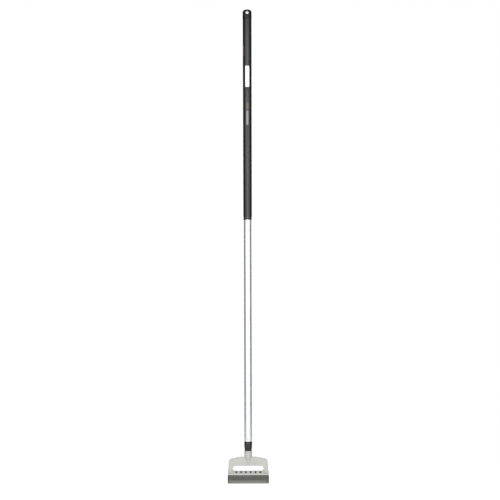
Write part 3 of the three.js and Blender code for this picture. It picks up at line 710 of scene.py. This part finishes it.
ferrule = turned("collet_ferrule", [
    (0, ferrule_low.z),
    (collet_radius - plug_chamfer, ferrule_low.z),
    (collet_radius, ferrule_low.z + plug_chamfer),
    (collet_radius, flange_low),
    *round_corner((flange_radius - flange_edge, flange_low + flange_edge), flange_edge, -90, 4),
    *round_corner((flange_radius - plug_chamfer, flange_high - plug_chamfer), plug_chamfer, 0, 4),
    (plug_radius, flange_high),
    (plug_radius, ferrule_high.z - plug_chamfer),
    (plug_radius - plug_chamfer, ferrule_high.z),
    (0, ferrule_high.z),
])
cut(ferrule, prism(
    "socket_tool", flatted_circle(socket_radius, spigot_flat),
    ferrule_low.z - plug_chamfer, ferrule_high.z + plug_chamfer, "Z",
))
slot = rectangle(-slot_width / 2, ferrule_low.z - plug_chamfer, slot_width / 2, flange_low - slot_root)
for axis in "XY":
    cut(ferrule, prism("slot_tool", slot, -2 * collet_radius, 2 * collet_radius, axis))
rivet_spot = (0, tube_low.z + rivet_place)
drill(ferrule, rivet_radius + grip_clearance, -2 * flange_radius, 2 * flange_radius, rivet_spot, "X", 48)
softened(ferrule, collet_edge)
dress(ferrule, moulded_black, "handle", "cap_plastic", "ferrule")

for name, side in sides:
    rivet_low, rivet_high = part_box(f"ferrule_rivet_{name}")
    inner, outer = sorted((abs(rivet_low.x), abs(rivet_high.x)))
    head_radius = (rivet_high.z - rivet_low.z) / 2
    seat = outer - rivet_head_height
    rivet = turned(f"flush_rivet_{name}", [
        (0, inner),
        (rivet_radius, inner),
        (rivet_radius, seat),
        (head_radius, seat),
        *round_corner((head_radius - rivet_head_edge, outer - rivet_head_edge), rivet_head_edge, 0, 4),
        (0, outer),
    ], 48)
    smooth(laid_across(rivet, side, 0, (rivet_low.z + rivet_high.z) / 2))
    dress(rivet, zinc, "handle", "fastener_steel", f"ferrule_rivet_{name}")


def growth_tree(name, floats, whole=()):
    """A Geometry Nodes tree with named inputs, and the figures that come in by them."""
    tree = bpy.data.node_groups.new(name, "GeometryNodeTree")
    kinds = [(label, "Float") for label in floats] + [(label, "Int") for label in whole]
    for label, kind in (*kinds, ("Material", "Material")):
        tree.interface.new_socket(label, in_out="INPUT", socket_type="NodeSocket" + kind)
    tree.interface.new_socket("Shape", in_out="OUTPUT", socket_type="NodeSocketGeometry")
    start = tree.nodes.new("NodeGroupInput")
    return tree, {socket.name: Figure(tree, socket) for socket in start.outputs if socket.name}


def finished_tree(tree, value, geometry):
    """Makes a tree's instances real, gives them its material and sends them out."""
    real = add_node(tree, "GeometryNodeRealizeInstances", Geometry=geometry)
    paint = add_node(tree, "GeometryNodeSetMaterial", Geometry=real.outputs[0], Material=value["Material"])
    add_node(tree, "NodeGroupOutput", Shape=paint.outputs[0])
    return tree


def lock_ring_tree():
    """Geometry Nodes: a closed tapered ring whose outside is drawn in by even flutes."""
    tree, value = growth_tree("fluted_lock_ring", (
        "Bottom", "Top", "Bore Radius", "Bottom Radius", "Top Radius", "Flutes", "Flute Depth", "Edge",
    ))
    around, along = 360, 24
    sheet = add_node(
        tree, "GeometryNodeMeshGrid", Size_X=1.0, Size_Y=1.0, Vertices_X=around + 1, Vertices_Y=along + 1,
    )
    x, y, _ = split(tree, tree.nodes.new("GeometryNodeInputPosition").outputs[0])
    turn = (x + 0.5) * math.tau
    share = y + 0.5
    # The section goes up the outside for the first part of the grid and down the bore for the rest.
    outside = maths(tree, "LESS_THAN", share, 0.75)
    inside = 1.0 - outside
    rise = maths(tree, "DIVIDE", share - 1 / along, 16 / along, clamp=True)
    fall = maths(tree, "DIVIDE", 1.0 - share, 5 / along, clamp=True)
    cone = value["Bottom Radius"] + rise * (value["Top Radius"] - value["Bottom Radius"])
    dip = maths(tree, "COSINE", turn * value["Flutes"]) * value["Flute Depth"]
    # Flutes fade out towards the ring's two ends.
    middle = maths(tree, "MULTIPLY", rise * (1.0 - rise), 12.0, clamp=True)
    fluted = cone - maths(tree, "MAXIMUM", dip, 0.0) * middle
    at_end = maths(tree, "COMPARE", maths(tree, "ABSOLUTE", rise - 0.5), 0.5, 0.001)
    radius = (fluted - at_end * value["Edge"]) * outside + value["Bore Radius"] * inside
    height = value["Bottom"] + (rise * outside + fall * inside) * (value["Top"] - value["Bottom"])
    spot = combined(tree, radius * maths(tree, "COSINE", turn), radius * maths(tree, "SINE", turn), height)
    shape = add_node(tree, "GeometryNodeSetPosition", Geometry=sheet.outputs["Mesh"], Position=spot)
    weld = add_node(tree, "GeometryNodeMergeByDistance", Geometry=shape.outputs[0], Distance=1e-6)
    return finished_tree(tree, value, weld.outputs[0])


def grown(name, tree, **values):
    """A plain mesh grown by a Geometry Nodes tree with its inputs set by the sockets' identifiers."""
    made = new_object(name, bpy.data.meshes.new(name))
    change = made.modifiers.new("growth", "NODES")
    change.node_group = tree
    for item in tree.interface.items_tree:
        label = item.name.replace(" ", "_")
        if item.in_out == "INPUT" and label in values:
            change[item.identifier] = values[label]
    made.update_tag()
    bpy.context.view_layer.update()
    return settle(made)


lock_ring = grown(
    "fluted_ring", lock_ring_tree(), Bottom=lock_low.z, Top=lock_high.z,
    Bore_Radius=collet_radius + grip_clearance, Bottom_Radius=ring_foot_radius, Top_Radius=flange_radius,
    Flutes=flutes, Flute_Depth=flute_depth, Edge=ring_edge, Material=moulded_black,
)
form = bmesh.new()
form.from_mesh(lock_ring.data)
bmesh.ops.recalc_face_normals(form, faces=form.faces)
form.to_mesh(lock_ring.data)
form.free()
smooth(lock_ring)
dress(lock_ring, moulded_black, "lock_ring", "cap_plastic", "lock_ring")

# -------------------------------------------------------------------- yoke
# The yoke: one light grey moulding, with a round neck, a plate with a window, a ledge for the screws and a
# foot flange over the brush. The spigot is pinned in its neck, and the blade sits in a rebate at its back.

neck_height = 21.5 * MM
neck_edge = 1.0 * MM
neck_foot_radius = 5 * MM
neck_foot_clear = 6 * MM
plate_half = 5 * MM
plate_round = 1.5 * MM
flare = 4.5 * MM
shoulder_drop = 5.5 * MM
shoulder_radius = 17 * MM
leg_width = 20 * MM
window_height = 17.4 * MM
window_corner = 6 * MM
crossbar_height = 12.9 * MM
foot_flange_height = 5 * MM
foot_round = 1.0 * MM
ledge_top_depth = 6 * MM
ledge_root = 2 * MM
ledge_inset = 18.5 * MM
ledge_fillet = 1.2 * MM
rib_width = 5 * MM
rib_depth = 8 * MM
rib_height = 3.2 * MM
notch_radius = 3.15 * MM
notch_tail = 1.0 * MM
notch_floor = 4.4 * MM
hole_radius = 1.8 * MM
yoke_edge = 0.5 * MM
over = 1.0 * MM

yoke_low, yoke_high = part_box("head_yoke")
foot_half = yoke_high.x
neck_radius = yoke_high.y
foot_depth = -yoke_low.y
foot_bottom = yoke_low.z
crossbar_top = foot_bottom + crossbar_height
window_top = crossbar_top + window_height
neck_bottom = yoke_high.z - neck_height
shoulder_top = neck_bottom - shoulder_drop
shoulder_half = foot_half - flare
ledge_bottom = foot_bottom + foot_flange_height
ledge_half = foot_half - ledge_inset
spigot_low, spigot_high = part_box("head_spigot")
screw_nodes = [f"clamp_screw_{number}" for number in range(1, 7)]
screw_places = [sum(corner.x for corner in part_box(node)) / 2 for node in screw_nodes]
screw_low, screw_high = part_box(screw_nodes[0])
screw_height = (screw_low.z + screw_high.z) / 2


def curve_points(start, control, end, steps=12):
    """The points of a bend from start to end, drawn towards a control point, without the start."""
    points = []
    for step in range(1, steps + 1):
        t = step / steps
        points.append(tuple(
            (1 - t) ** 2 * a + 2 * t * (1 - t) * b + t * t * c for a, b, c in zip(start, control, end)
        ))
    return points


def yoke_outline():
    """The plate's outline in X and Z: straight legs, rounded shoulders and a rise to the neck."""
    shoulder_foot = (shoulder_half, shoulder_top - shoulder_radius)
    shoulder_end = (shoulder_half - shoulder_radius, shoulder_top)
    right = [
        (foot_half, foot_bottom),
        shoulder_foot,
        *curve_points(shoulder_foot, (shoulder_half, shoulder_top), shoulder_end),
        *curve_points(shoulder_end, (shoulder_half / 2, neck_bottom), (neck_radius, neck_bottom)),
    ]
    return right + [(-x, z) for x, z in reversed(right)]


def inset_outline(outline, distance):
    """A counter-clockwise outline moved inwards by a distance, corner by corner."""
    moved = []
    count = len(outline)
    for index, point in enumerate(outline):
        before = Vector(point) - Vector(outline[index - 1])
        after = Vector(outline[(index + 1) % count]) - Vector(point)
        in_before = Vector((-before.y, before.x)).normalized()
        in_after = Vector((-after.y, after.x)).normalized()
        middle = (in_before + in_after).normalized()
        reach = distance / max(0.5, middle.dot(in_before))
        moved.append((point[0] + middle.x * reach, point[1] + middle.y * reach))
    return moved


def rounded_prism(name, outline, front, back, edge, steps=5):
    """An outline in X and Z made a plate along Y, with its front and back edges rounded."""
    rows = []
    for side, face in ((-1, front), (1, back)):
        for step in range(steps + 1) if side < 0 else range(steps, -1, -1):
            angle = math.pi / 2 * step / steps
            depth = face - side * edge * (1 - math.cos(angle))
            rows.append([(x, depth, z) for x, z in inset_outline(outline, edge * (1 - math.sin(angle)))])
    return stacked(name, rows)


yoke = rounded_prism("moulded_yoke", yoke_outline(), -plate_half, plate_half, plate_round)
neck_foot = window_top + neck_foot_clear
cut(yoke, turned("neck_part", [
    (0, neck_foot),
    (neck_foot_radius, neck_foot),
    *curve_points((neck_foot_radius, neck_foot), (neck_foot_radius + plate_half, neck_bottom - over),
                  (neck_radius, neck_bottom)),
    *round_corner((neck_radius - neck_edge, yoke_high.z - neck_edge), neck_edge, 0),
    (0, yoke_high.z),
]), "UNION")
cut(yoke, prism("foot_part", [
    (-foot_depth, foot_bottom),
    (0, foot_bottom),
    (0, ledge_bottom),
    (foot_round - foot_depth, ledge_bottom),
    (-foot_depth, ledge_bottom - foot_round),
], -foot_half, foot_half, "X"), "UNION")
ledge_front = foot_round - foot_depth
cut(yoke, prism("ledge_part", [
    (ledge_front, ledge_bottom - ledge_root),
    (-ledge_root, ledge_bottom - ledge_root),
    (-ledge_root, crossbar_top),
    (-ledge_top_depth, crossbar_top),
    (ledge_front, ledge_bottom + ledge_fillet),
], -ledge_half, ledge_half, "X"), "UNION")


def cut_block(piece, low_corner, high_corner):
    """Cuts a plain block between two corners out of a piece."""
    (x0, y0, z0), (x1, y1, z1) = low_corner, high_corner
    return cut(piece, prism("block_tool", rectangle(x0, z0, x1, z1), y0, y1))


window_centre = (0, crossbar_top + window_height / 2)
window_width = 2 * (foot_half - leg_width)
cut(yoke, prism(
    "window_tool", rounded_outline(window_centre, window_width, window_height, window_corner),
    -2 * foot_depth, 2 * foot_depth,
))
rebate_low = (-2 * foot_half, 0, foot_bottom - foot_depth)
cut_block(yoke, rebate_low, (2 * foot_half, foot_depth, crossbar_top + inlay_gap))
rib_front = -rib_depth - rib_width / 2
rib_back = rib_front + rib_width
channel_top = foot_bottom + rib_height
channel_low = (-2 * foot_half, rib_front - inlay_gap, foot_bottom - over)
cut_block(yoke, channel_low, (2 * foot_half, rib_back + inlay_gap, channel_top))
cut(yoke, prism(
    "bore_tool", flatted_circle(socket_radius, spigot_flat),
    spigot_low.z - inlay_gap, yoke_high.z + over, "Z",
))
pin_low, pin_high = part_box("spigot_pin")
pin_radius = (pin_high.z - pin_low.z) / 2
drill(yoke, pin_radius + grip_clearance, -foot_half, foot_half, (0, pin_low.z + pin_radius), "X", 48)
for x in screw_places:
    notch_foot = screw_height - notch_tail
    angles = [math.radians(degrees) for degrees in range(180, 361, 15)]
    cut(yoke, prism("notch_tool", [
        *[(x + notch_radius * math.cos(a), notch_foot + notch_radius * math.sin(a)) for a in angles],
        (x + notch_radius, crossbar_top + over),
        (x - notch_radius, crossbar_top + over),
    ], -2 * foot_depth, -notch_floor))
    drill(yoke, hole_radius, -2 * foot_depth, 2 * foot_depth, (x, screw_height))

yoke_grey = worked_finish(
    "moulded_grey", (0.506, 0.504, 0.467), (0.458, 0.456, 0.424), (0.6, 0.6, 0.565), roughness=0.46,
    spread=0.14, grain=2400, mottle=35, bump=0.18, wear=0.35, lines=0.15,
)
softened(yoke, yoke_edge, 28, 3)
dress(yoke, yoke_grey, "head", "yoke_plastic", "head_yoke")

# ------------------------------------------------------------------ spigot
# The spigot: an aluminium rod with one flat at its back and a chamfered top, which slides up the ferrule's
# bore. A steel pin across the neck holds its lower end.

spigot_radius = 7.3 * MM
spigot_chamfer = 1.5 * MM
spigot_edge = 0.2 * MM

spigot = prism("head_rod", flatted_circle(spigot_radius, spigot_flat), spigot_low.z, spigot_high.z, "Z")
cut(spigot, turned("chamfer_tool", [
    (0, spigot_low.z),
    (2 * spigot_radius, spigot_low.z),
    (2 * spigot_radius, spigot_high.z - spigot_radius - spigot_chamfer),
    (spigot_radius - spigot_chamfer, spigot_high.z),
    (0, spigot_high.z),
]), "INTERSECT")
softened(spigot, spigot_edge)
dress(spigot, anodised, "head", "tube_metal", "head_spigot")
dress(cross_pin("neck_cross_pin", "spigot_pin"), zinc, "head", "fastener_steel", "spigot_pin")

# ------------------------------------------------------------------- blade
# The blade: a grey rolled steel plate with a ground lower edge, as wide as the foot. It hangs in the yoke's
# rebate and the clamp bar holds it there.

blade_land = 0.9 * MM
blade_grind = 5 * MM
blade_corner = 1.2 * MM
blade_edge = 0.12 * MM

blade_low, blade_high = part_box("scraper_blade")
rolled_steel = worked_finish(
    "rolled_steel", (0.241, 0.236, 0.227), (0.198, 0.194, 0.187), (0.5, 0.5, 0.5), roughness=0.42,
    spread=0.16, grain=1500, mottle=40, bump=0.1, wear=0.6, lines=0.3, metallic=0.8,
    along=(0, math.pi / 2, 0),
)
blade = prism("ground_blade", [
    (blade_low.y, blade_low.z),
    (blade_low.y + blade_land, blade_low.z),
    (blade_high.y, blade_low.z + blade_grind),
    (blade_high.y, blade_high.z),
    (blade_low.y, blade_high.z),
], blade_low.x, blade_high.x, "X")
middle = (0, (blade_low.z + blade_high.z) / 2)
cut(blade, prism(
    "corner_tool",
    rounded_outline(middle, blade_high.x - blade_low.x, blade_high.z - blade_low.z, blade_corner),
    blade_low.y - over, blade_high.y + over,
), "INTERSECT")
for x in screw_places:
    drill(blade, hole_radius, -foot_depth, foot_depth, (x, screw_height))
softened(blade, blade_edge)
dress(blade, rolled_steel, "head", "blade_steel", "scraper_blade")

# --------------------------------------------------------------- clamp bar
# The clamp bar: a dark grey moulded strip across the back of the blade. A hexagonal pocket behind each screw
# keeps its nut from turning.

bar_corner = 3 * MM
bar_round = 0.8 * MM
nut_pocket = 6.0 * MM
nut_floor = 0.3 * MM

bar_low, bar_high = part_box("clamp_bar")
nut_nodes = [f"clamp_nut_{number}" for number in range(1, 7)]
nut_low, nut_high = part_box(nut_nodes[0])
block_grey = worked_finish(
    "block_grey", (0.1, 0.099, 0.09), (0.078, 0.077, 0.07), (0.18, 0.18, 0.165), roughness=0.5, spread=0.15,
    grain=2200, mottle=50, bump=0.2, wear=0.5, lines=0.2,
)


def hexagon(width, x, z):
    """The corners of a hexagon of a width across flats, flats above and below."""
    corner = width / math.sqrt(3)
    angles = [math.pi * side / 3 for side in range(6)]
    return [(x + corner * math.cos(angle), z + corner * math.sin(angle)) for angle in angles]


bar = rounded_prism("rear_clamp_bar", rounded_outline(
    (0, (bar_low.z + bar_high.z) / 2), bar_high.x - bar_low.x, bar_high.z - bar_low.z, bar_corner,
), bar_low.y, bar_high.y, bar_round)
for x in screw_places:
    drill(bar, hole_radius, 0, foot_depth, (x, screw_height))
    cut(bar, prism("pocket_tool", hexagon(nut_pocket, x, screw_height), nut_low.y - nut_floor, foot_depth))
smooth(bar)
dress(bar, block_grey, "head", "block_plastic", "clamp_bar")

# --------------------------------------------------------- screws and nuts
# Six black socket screws go back from the ledge's notches through yoke, blade and bar into six hexagon nuts.
# They are blackened steel, with rolled rims and a hexagon socket in each head.

screw_head_radius = 2.75 * MM
screw_head_height = 3 * MM
screw_rim = 0.5 * MM
screw_radius = 1.5 * MM
screw_socket = 2.5 * MM
screw_socket_depth = 1.5 * MM
nut_width = 5.5 * MM
nut_chamfer = 0.3 * MM


def laid(tree, kind, depth, quarter=1, **values):
    """A round or hexagonal shape turned from Z to Y and put at a depth along it."""
    shape = add_node(tree, "GeometryNodeMesh" + kind, **values)
    return add_node(
        tree, "GeometryNodeTransform", Geometry=shape.outputs["Mesh"], Rotation=(quarter * math.pi / 2, 0, 0),
        Translation=combined(tree, y=depth),
    ).outputs["Geometry"]


def joined(tree, operation, first, *others):
    """A Mesh Boolean of shapes."""
    node = add_node(tree, "GeometryNodeMeshBoolean", operation=operation, solver="EXACT")
    if operation == "DIFFERENCE":
        tree.links.new(first, node.inputs["Mesh 1"])
    else:
        others = (first, *others)
    for shape in others:
        tree.links.new(shape, node.inputs["Mesh 2"])
    return node.outputs["Mesh"]


def screw_shape(tree, value):
    """One socket screw whose axis is Y and whose head's front is at Front."""
    rim_back = value["Front"] + value["Rim"]
    half_head = (value["Head Height"] - value["Rim"]) / 2.0
    head_middle = rim_back + half_head
    length = value["Back"] - head_middle
    head = laid(
        tree, "Cylinder", head_middle, Vertices=40, Radius=value["Head Radius"], Depth=half_head * 2.0,
    )
    rim = laid(
        tree, "Cone", rim_back, Vertices=40, Depth=value["Rim"], Radius_Bottom=value["Head Radius"],
        Radius_Top=value["Head Radius"] - value["Rim"],
    )
    shank = laid(
        tree, "Cylinder", head_middle + length / 2.0, Vertices=32, Radius=value["Shank Radius"], Depth=length,
    )
    socket = laid(
        tree, "Cylinder", value["Front"], Vertices=6, Radius=value["Socket"] / math.sqrt(3),
        Depth=value["Socket Depth"] * 2.0,
    )
    return joined(tree, "DIFFERENCE", joined(tree, "UNION", head, rim, shank), socket)


def nut_shape(tree, value):
    """One hexagon nut whose axis is Y, between Front and Back."""
    thickness = value["Back"] - value["Front"]
    middle = value["Front"] + thickness / 2.0
    body = laid(tree, "Cylinder", middle, Vertices=6, Depth=thickness, Radius=value["Width"] / math.sqrt(3))
    dome = laid(
        tree, "Cone", value["Front"], quarter=-1, Vertices=48, Radius_Bottom=value["Width"] * 0.75,
        Radius_Top=value["Width"] / 2.0 - value["Chamfer"], Depth=thickness,
    )
    bore = laid(tree, "Cylinder", middle, Vertices=32, Radius=value["Bore Radius"], Depth=thickness * 3.0)
    return joined(tree, "DIFFERENCE", joined(tree, "INTERSECT", body, dome), bore)


def row_tree(name, labels, shape):
    """Geometry Nodes: one shape repeated at an even pitch along X."""
    tree, value = growth_tree(name, (*labels, "First", "Pitch", "Height"), ("Count",))
    line = add_node(
        tree, "GeometryNodeMeshLine", Count=value["Count"], Offset=combined(tree, value["Pitch"]),
        Start_Location=combined(tree, value["First"], 0.0, value["Height"]),
    )
    copies = add_node(
        tree, "GeometryNodeInstanceOnPoints", Points=line.outputs["Mesh"], Instance=shape(tree, value),
    )
    return finished_tree(tree, value, copies.outputs["Instances"])


black_oxide = worked_finish(
    "black_oxide", (0.012, 0.012, 0.013), (0.018, 0.018, 0.019), (0.1, 0.095, 0.09), roughness=0.45,
    spread=0.16, grain=3000, mottle=150, bump=0.15, wear=0.4, lines=0.1, metallic=0.3,
)
row = {
    "First": screw_places[0], "Pitch": screw_places[1] - screw_places[0], "Height": screw_height,
    "Count": len(screw_places), "Material": black_oxide,
}
screws = grown(
    "clamp_screw_row",
    row_tree("screw_row", ("Front", "Back", "Head Radius", "Head Height", "Rim", "Shank Radius", "Socket",
                           "Socket Depth"), screw_shape),
    Front=screw_low.y, Back=screw_high.y, Head_Radius=screw_head_radius,
    Head_Height=screw_head_height, Rim=screw_rim, Shank_Radius=screw_radius, Socket=screw_socket,
    Socket_Depth=screw_socket_depth, **row,
)
smooth(screws)
dress(screws, black_oxide, "head", "screw_black", *screw_nodes)
nuts = grown(
    "clamp_nut_row", row_tree("nut_row", ("Front", "Back", "Width", "Chamfer", "Bore Radius"), nut_shape),
    Front=nut_low.y, Back=nut_high.y, Width=nut_width, Chamfer=nut_chamfer,
    Bore_Radius=screw_radius + grip_clearance, **row,
)
smooth(nuts)
dress(nuts, black_oxide, "head", "screw_black", *nut_nodes)

# ------------------------------------------------------------- brush block
# The block: a dark grey moulded strip whose rib slides into the channel under the foot. Its underside holds
# the bristles' tufts, and it is tapped at both ends for the cheeks' screws.

block_edge = 0.4 * MM
end_hole_radius = 1.55 * MM

block_low, block_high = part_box("brush_block")
strip_low, strip_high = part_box("bristle_strip")
block_top = block_high.z - rib_height
end_screw_low, end_screw_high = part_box("end_screw_right")
end_screw_place = [(end_screw_low[part] + end_screw_high[part]) / 2 for part in (1, 2)]

block = prism("brush_back", [
    (block_low.y, block_low.z),
    (block_high.y, block_low.z),
    (block_high.y, block_top),
    (rib_back, block_top),
    (rib_back, block_high.z),
    (rib_front, block_high.z),
    (rib_front, block_top),
    (block_low.y, block_top),
], block_low.x, block_high.x, "X")
for side in (-1, 1):
    ends = sorted((side * (end_screw_low.x - inlay_gap), side * 2 * foot_half))
    drill(block, end_hole_radius, *ends, end_screw_place, "X")
softened(block, block_edge, segments=3)
dress(block, block_grey, "head", "block_plastic", "brush_block")

# ---------------------------------------------------------------- bristles
# The bristles: short stiff dark nylon, set in tufts in four rows under the block and trimmed level. They
# lean and bend a little, each its own way, so the trimmed line is slightly ragged.

tuft_rows = 4
tuft_columns = 36
tuft_bristles = 26
bristle_seed = 11
tuft_radius = 1.75 * MM
bristle_radius = 0.28 * MM
bristle_root = 0.3 * MM
bristle_lean = math.radians(4)
bristle_bend = 0.6 * MM
bristle_lengths = (0.93, 0.99)
tip_fade = 1.2 * MM
golden_angle = math.radians(137.508)


def bristle_tree():
    """Geometry Nodes: tufts in rows, each a spiral of bent bristles with its own lean, length and shade."""
    tree, value = growth_tree(
        "bristle_field",
        ("Left", "Right", "Front", "Back", "Top", "Tip", "Tuft Radius", "Bristle Radius", "Lean", "Bend"),
        ("Columns", "Rows", "Per Tuft", "Seed"),
    )
    index = Figure(tree, tree.nodes.new("GeometryNodeInputIndex").outputs[0])
    tuft = maths(tree, "FLOOR", (index + 0.5) / value["Per Tuft"])
    within = index - tuft * value["Per Tuft"]
    row_index = maths(tree, "FLOOR", (tuft + 0.5) / value["Columns"])
    column = tuft - row_index * value["Columns"]
    # Every second row is moved by half a pitch, as drilled blocks are.
    stagger = maths(tree, "MODULO", row_index, 2.0) * 0.5

    def spread(low_end, high_end, share):
        """A place between two ends, kept a tuft's radius inside them."""
        first = value[low_end] + value["Tuft Radius"]
        return first + share * (value[high_end] - value["Tuft Radius"] - first)

    tuft_x = spread("Left", "Right", (column + stagger) / (value["Columns"] - 0.5))
    tuft_y = spread("Front", "Back", row_index / (value["Rows"] - 1.0))
    reach = maths(tree, "SQRT", (within + 0.5) / value["Per Tuft"])
    radius = reach * (value["Tuft Radius"] - value["Bristle Radius"])
    angle = within * golden_angle + tuft
    place = combined(
        tree, tuft_x + radius * maths(tree, "COSINE", angle), tuft_y + radius * maths(tree, "SINE", angle),
        value["Top"],
    )
    total = value["Columns"] * value["Rows"] * value["Per Tuft"]
    points = add_node(tree, "GeometryNodePoints", Count=total, Position=place)
    length = value["Top"] - value["Tip"]
    stem = add_node(
        tree, "GeometryNodeMeshCylinder", Vertices=4, Side_Segments=3, Radius=value["Bristle Radius"],
        Depth=length,
    )
    # The stem hangs from its root and bends more towards its tip.
    x, y, z = split(tree, tree.nodes.new("GeometryNodeInputPosition").outputs[0])
    half = length / 2.0
    down = (half - z) / length
    taper = 1.0 - down * 0.25
    bent = combined(tree, x * taper + down * down * value["Bend"], y * taper, z - half)
    hung = add_node(tree, "GeometryNodeSetPosition", Geometry=stem.outputs["Mesh"], Position=bent)

    def chance(low_end, high_end, offset):
        """A random number for each bristle, from the tree's seed."""
        node = add_node(tree, "FunctionNodeRandomValue", data_type="FLOAT", Seed=value["Seed"] + offset)
        numbers = [socket for socket in node.inputs if socket.type == "VALUE"]
        feed(tree, numbers[0], low_end)
        feed(tree, numbers[1], high_end)
        return next(socket for socket in node.outputs if socket.type == "VALUE")

    lean = (value["Lean"] * -1.0, value["Lean"])
    turn = combined(tree, chance(*lean, 0.0), chance(*lean, 1.0), chance(0.0, math.tau, 2.0))
    size = combined(tree, 1.0, 1.0, chance(*bristle_lengths, 3.0))
    copies = add_node(
        tree, "GeometryNodeInstanceOnPoints", Points=points.outputs[0], Instance=hung.outputs["Geometry"],
        Rotation=turn, Scale=size,
    )
    shade = add_node(
        tree, "GeometryNodeStoreNamedAttribute", data_type="FLOAT", domain="INSTANCE",
        Geometry=copies.outputs["Instances"], Name="bristle_shade", Value=chance(0.0, 1.0, 4.0),
    )
    return finished_tree(tree, value, shade.outputs["Geometry"])


def bristle_nylon():
    """Dark stiff nylon: each bristle its own grey, rougher towards the trimmed tip and darkened there by
    painted shade.
    """
    made, tree, surface = new_material("bristle_nylon", Specular_IOR_Level=0.5)
    shade = add_node(tree, "ShaderNodeAttribute", attribute_name="bristle_shade")
    place = tree.nodes.new("ShaderNodeTexCoord").outputs["Object"]
    texture = add_node(
        tree, "ShaderNodeGroup", node_tree=surface_grain, Place=place, Grain_Size=3000, Mottle_Size=160,
    ).outputs
    own = mixed_colour(tree, shade.outputs["Fac"], (0.122, 0.12, 0.106), (0.285, 0.28, 0.25))
    clumped = mixed_colour(tree, texture["Mottle"], own, (0.14, 0.138, 0.125))
    # Within tip_fade of the trimmed tip the bristles get rougher, and their colour is mixed towards a darker
    # grey as painted shade under the brush, not a colour of the nylon.
    above_tip = split(tree, place)[2] - strip_low.z
    tip = maths(tree, "SUBTRACT", 1.0, above_tip / tip_fade, clamp=True)
    bumps = add_node(tree, "ShaderNodeBump", Strength=0.2, Distance=0.05 * MM, Height=texture["Height"])
    feed(tree, surface.inputs["Base Color"], mixed_colour(tree, tip * 0.4, clumped, (0.1, 0.098, 0.088)))
    feed(tree, surface.inputs["Roughness"], tip * 0.25 + 0.45)
    feed(tree, surface.inputs["Normal"], bumps.outputs["Normal"])
    return made


nylon = bristle_nylon()
bristles = grown(
    "bristle_tufts", bristle_tree(), Left=strip_low.x, Right=strip_high.x, Front=strip_low.y,
    Back=strip_high.y, Top=block_low.z + bristle_root, Tip=strip_low.z, Tuft_Radius=tuft_radius,
    Bristle_Radius=bristle_radius, Lean=bristle_lean, Bend=bristle_bend, Columns=tuft_columns,
    Rows=tuft_rows, Per_Tuft=tuft_bristles, Seed=bristle_seed, Material=nylon,
)
smooth(bristles, 60)
dress(bristles, nylon, "head", "bristle_nylon", "bristle_strip")

# ------------------------------------------------------------------ cheeks
# The cheeks: two dark grey moulded plates that close the ends of the brush and guard its outer bristles. A
# small black screw in a counterbore holds each to the block.

cheek_corner = 2.5 * MM
cheek_round = 0.5 * MM
counterbore_radius = 2.45 * MM
counterbore_depth = 1.9 * MM
end_screw_radius = 1.3 * MM
end_screw_head = 1.6 * MM
end_screw_rim = 0.4 * MM
cross_width = 0.8 * MM
cross_reach = 1.4 * MM
cross_depth = 0.8 * MM

cross_arm = rectangle(-cross_reach, -cross_width / 2, cross_reach, cross_width / 2)
for name, side in sides:
    cheek_low, cheek_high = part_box(f"end_cap_{name}")
    centre = ((cheek_low.y + cheek_high.y) / 2, (cheek_low.z + cheek_high.z) / 2)
    width, height = cheek_high.y - cheek_low.y, cheek_high.z - cheek_low.z
    cheek = prism(f"brush_cheek_{name}", rounded_outline(centre, width, height, cheek_corner),
                  cheek_low.x, cheek_high.x, "X")
    outside = sorted((side * (foot_half - counterbore_depth), side * 2 * foot_half))
    through = sorted((side * end_screw_low.x, side * 2 * foot_half))
    drill(cheek, counterbore_radius, *outside, end_screw_place, "X", 40)
    drill(cheek, end_hole_radius, *through, end_screw_place, "X")
    softened(cheek, cheek_round, segments=3)
    dress(cheek, block_grey, "head", "block_plastic", f"end_cap_{name}")

    tip, face = end_screw_low.x, end_screw_high.x
    head_radius = (end_screw_high.z - end_screw_low.z) / 2
    screw = turned(f"cheek_screw_{name}", [
        (0, tip),
        (end_screw_radius / 2, tip),
        (end_screw_radius, tip + end_screw_radius),
        (end_screw_radius, face - end_screw_head),
        (head_radius, face - end_screw_head),
        *round_corner((head_radius - end_screw_rim, face - end_screw_rim), end_screw_rim, 0, 4),
        (0, face),
    ], 40)
    for turn in (0, math.pi / 2):
        arm = prism("cross_tool", cross_arm, face - cross_depth, face + over, "Z")
        arm.data.transform(Matrix.Rotation(turn, 4, "Z"))
        cut(screw, arm)
    smooth(laid_across(screw, side, *end_screw_place))
    dress(screw, black_oxide, "head", "screw_black", f"end_screw_{name}")
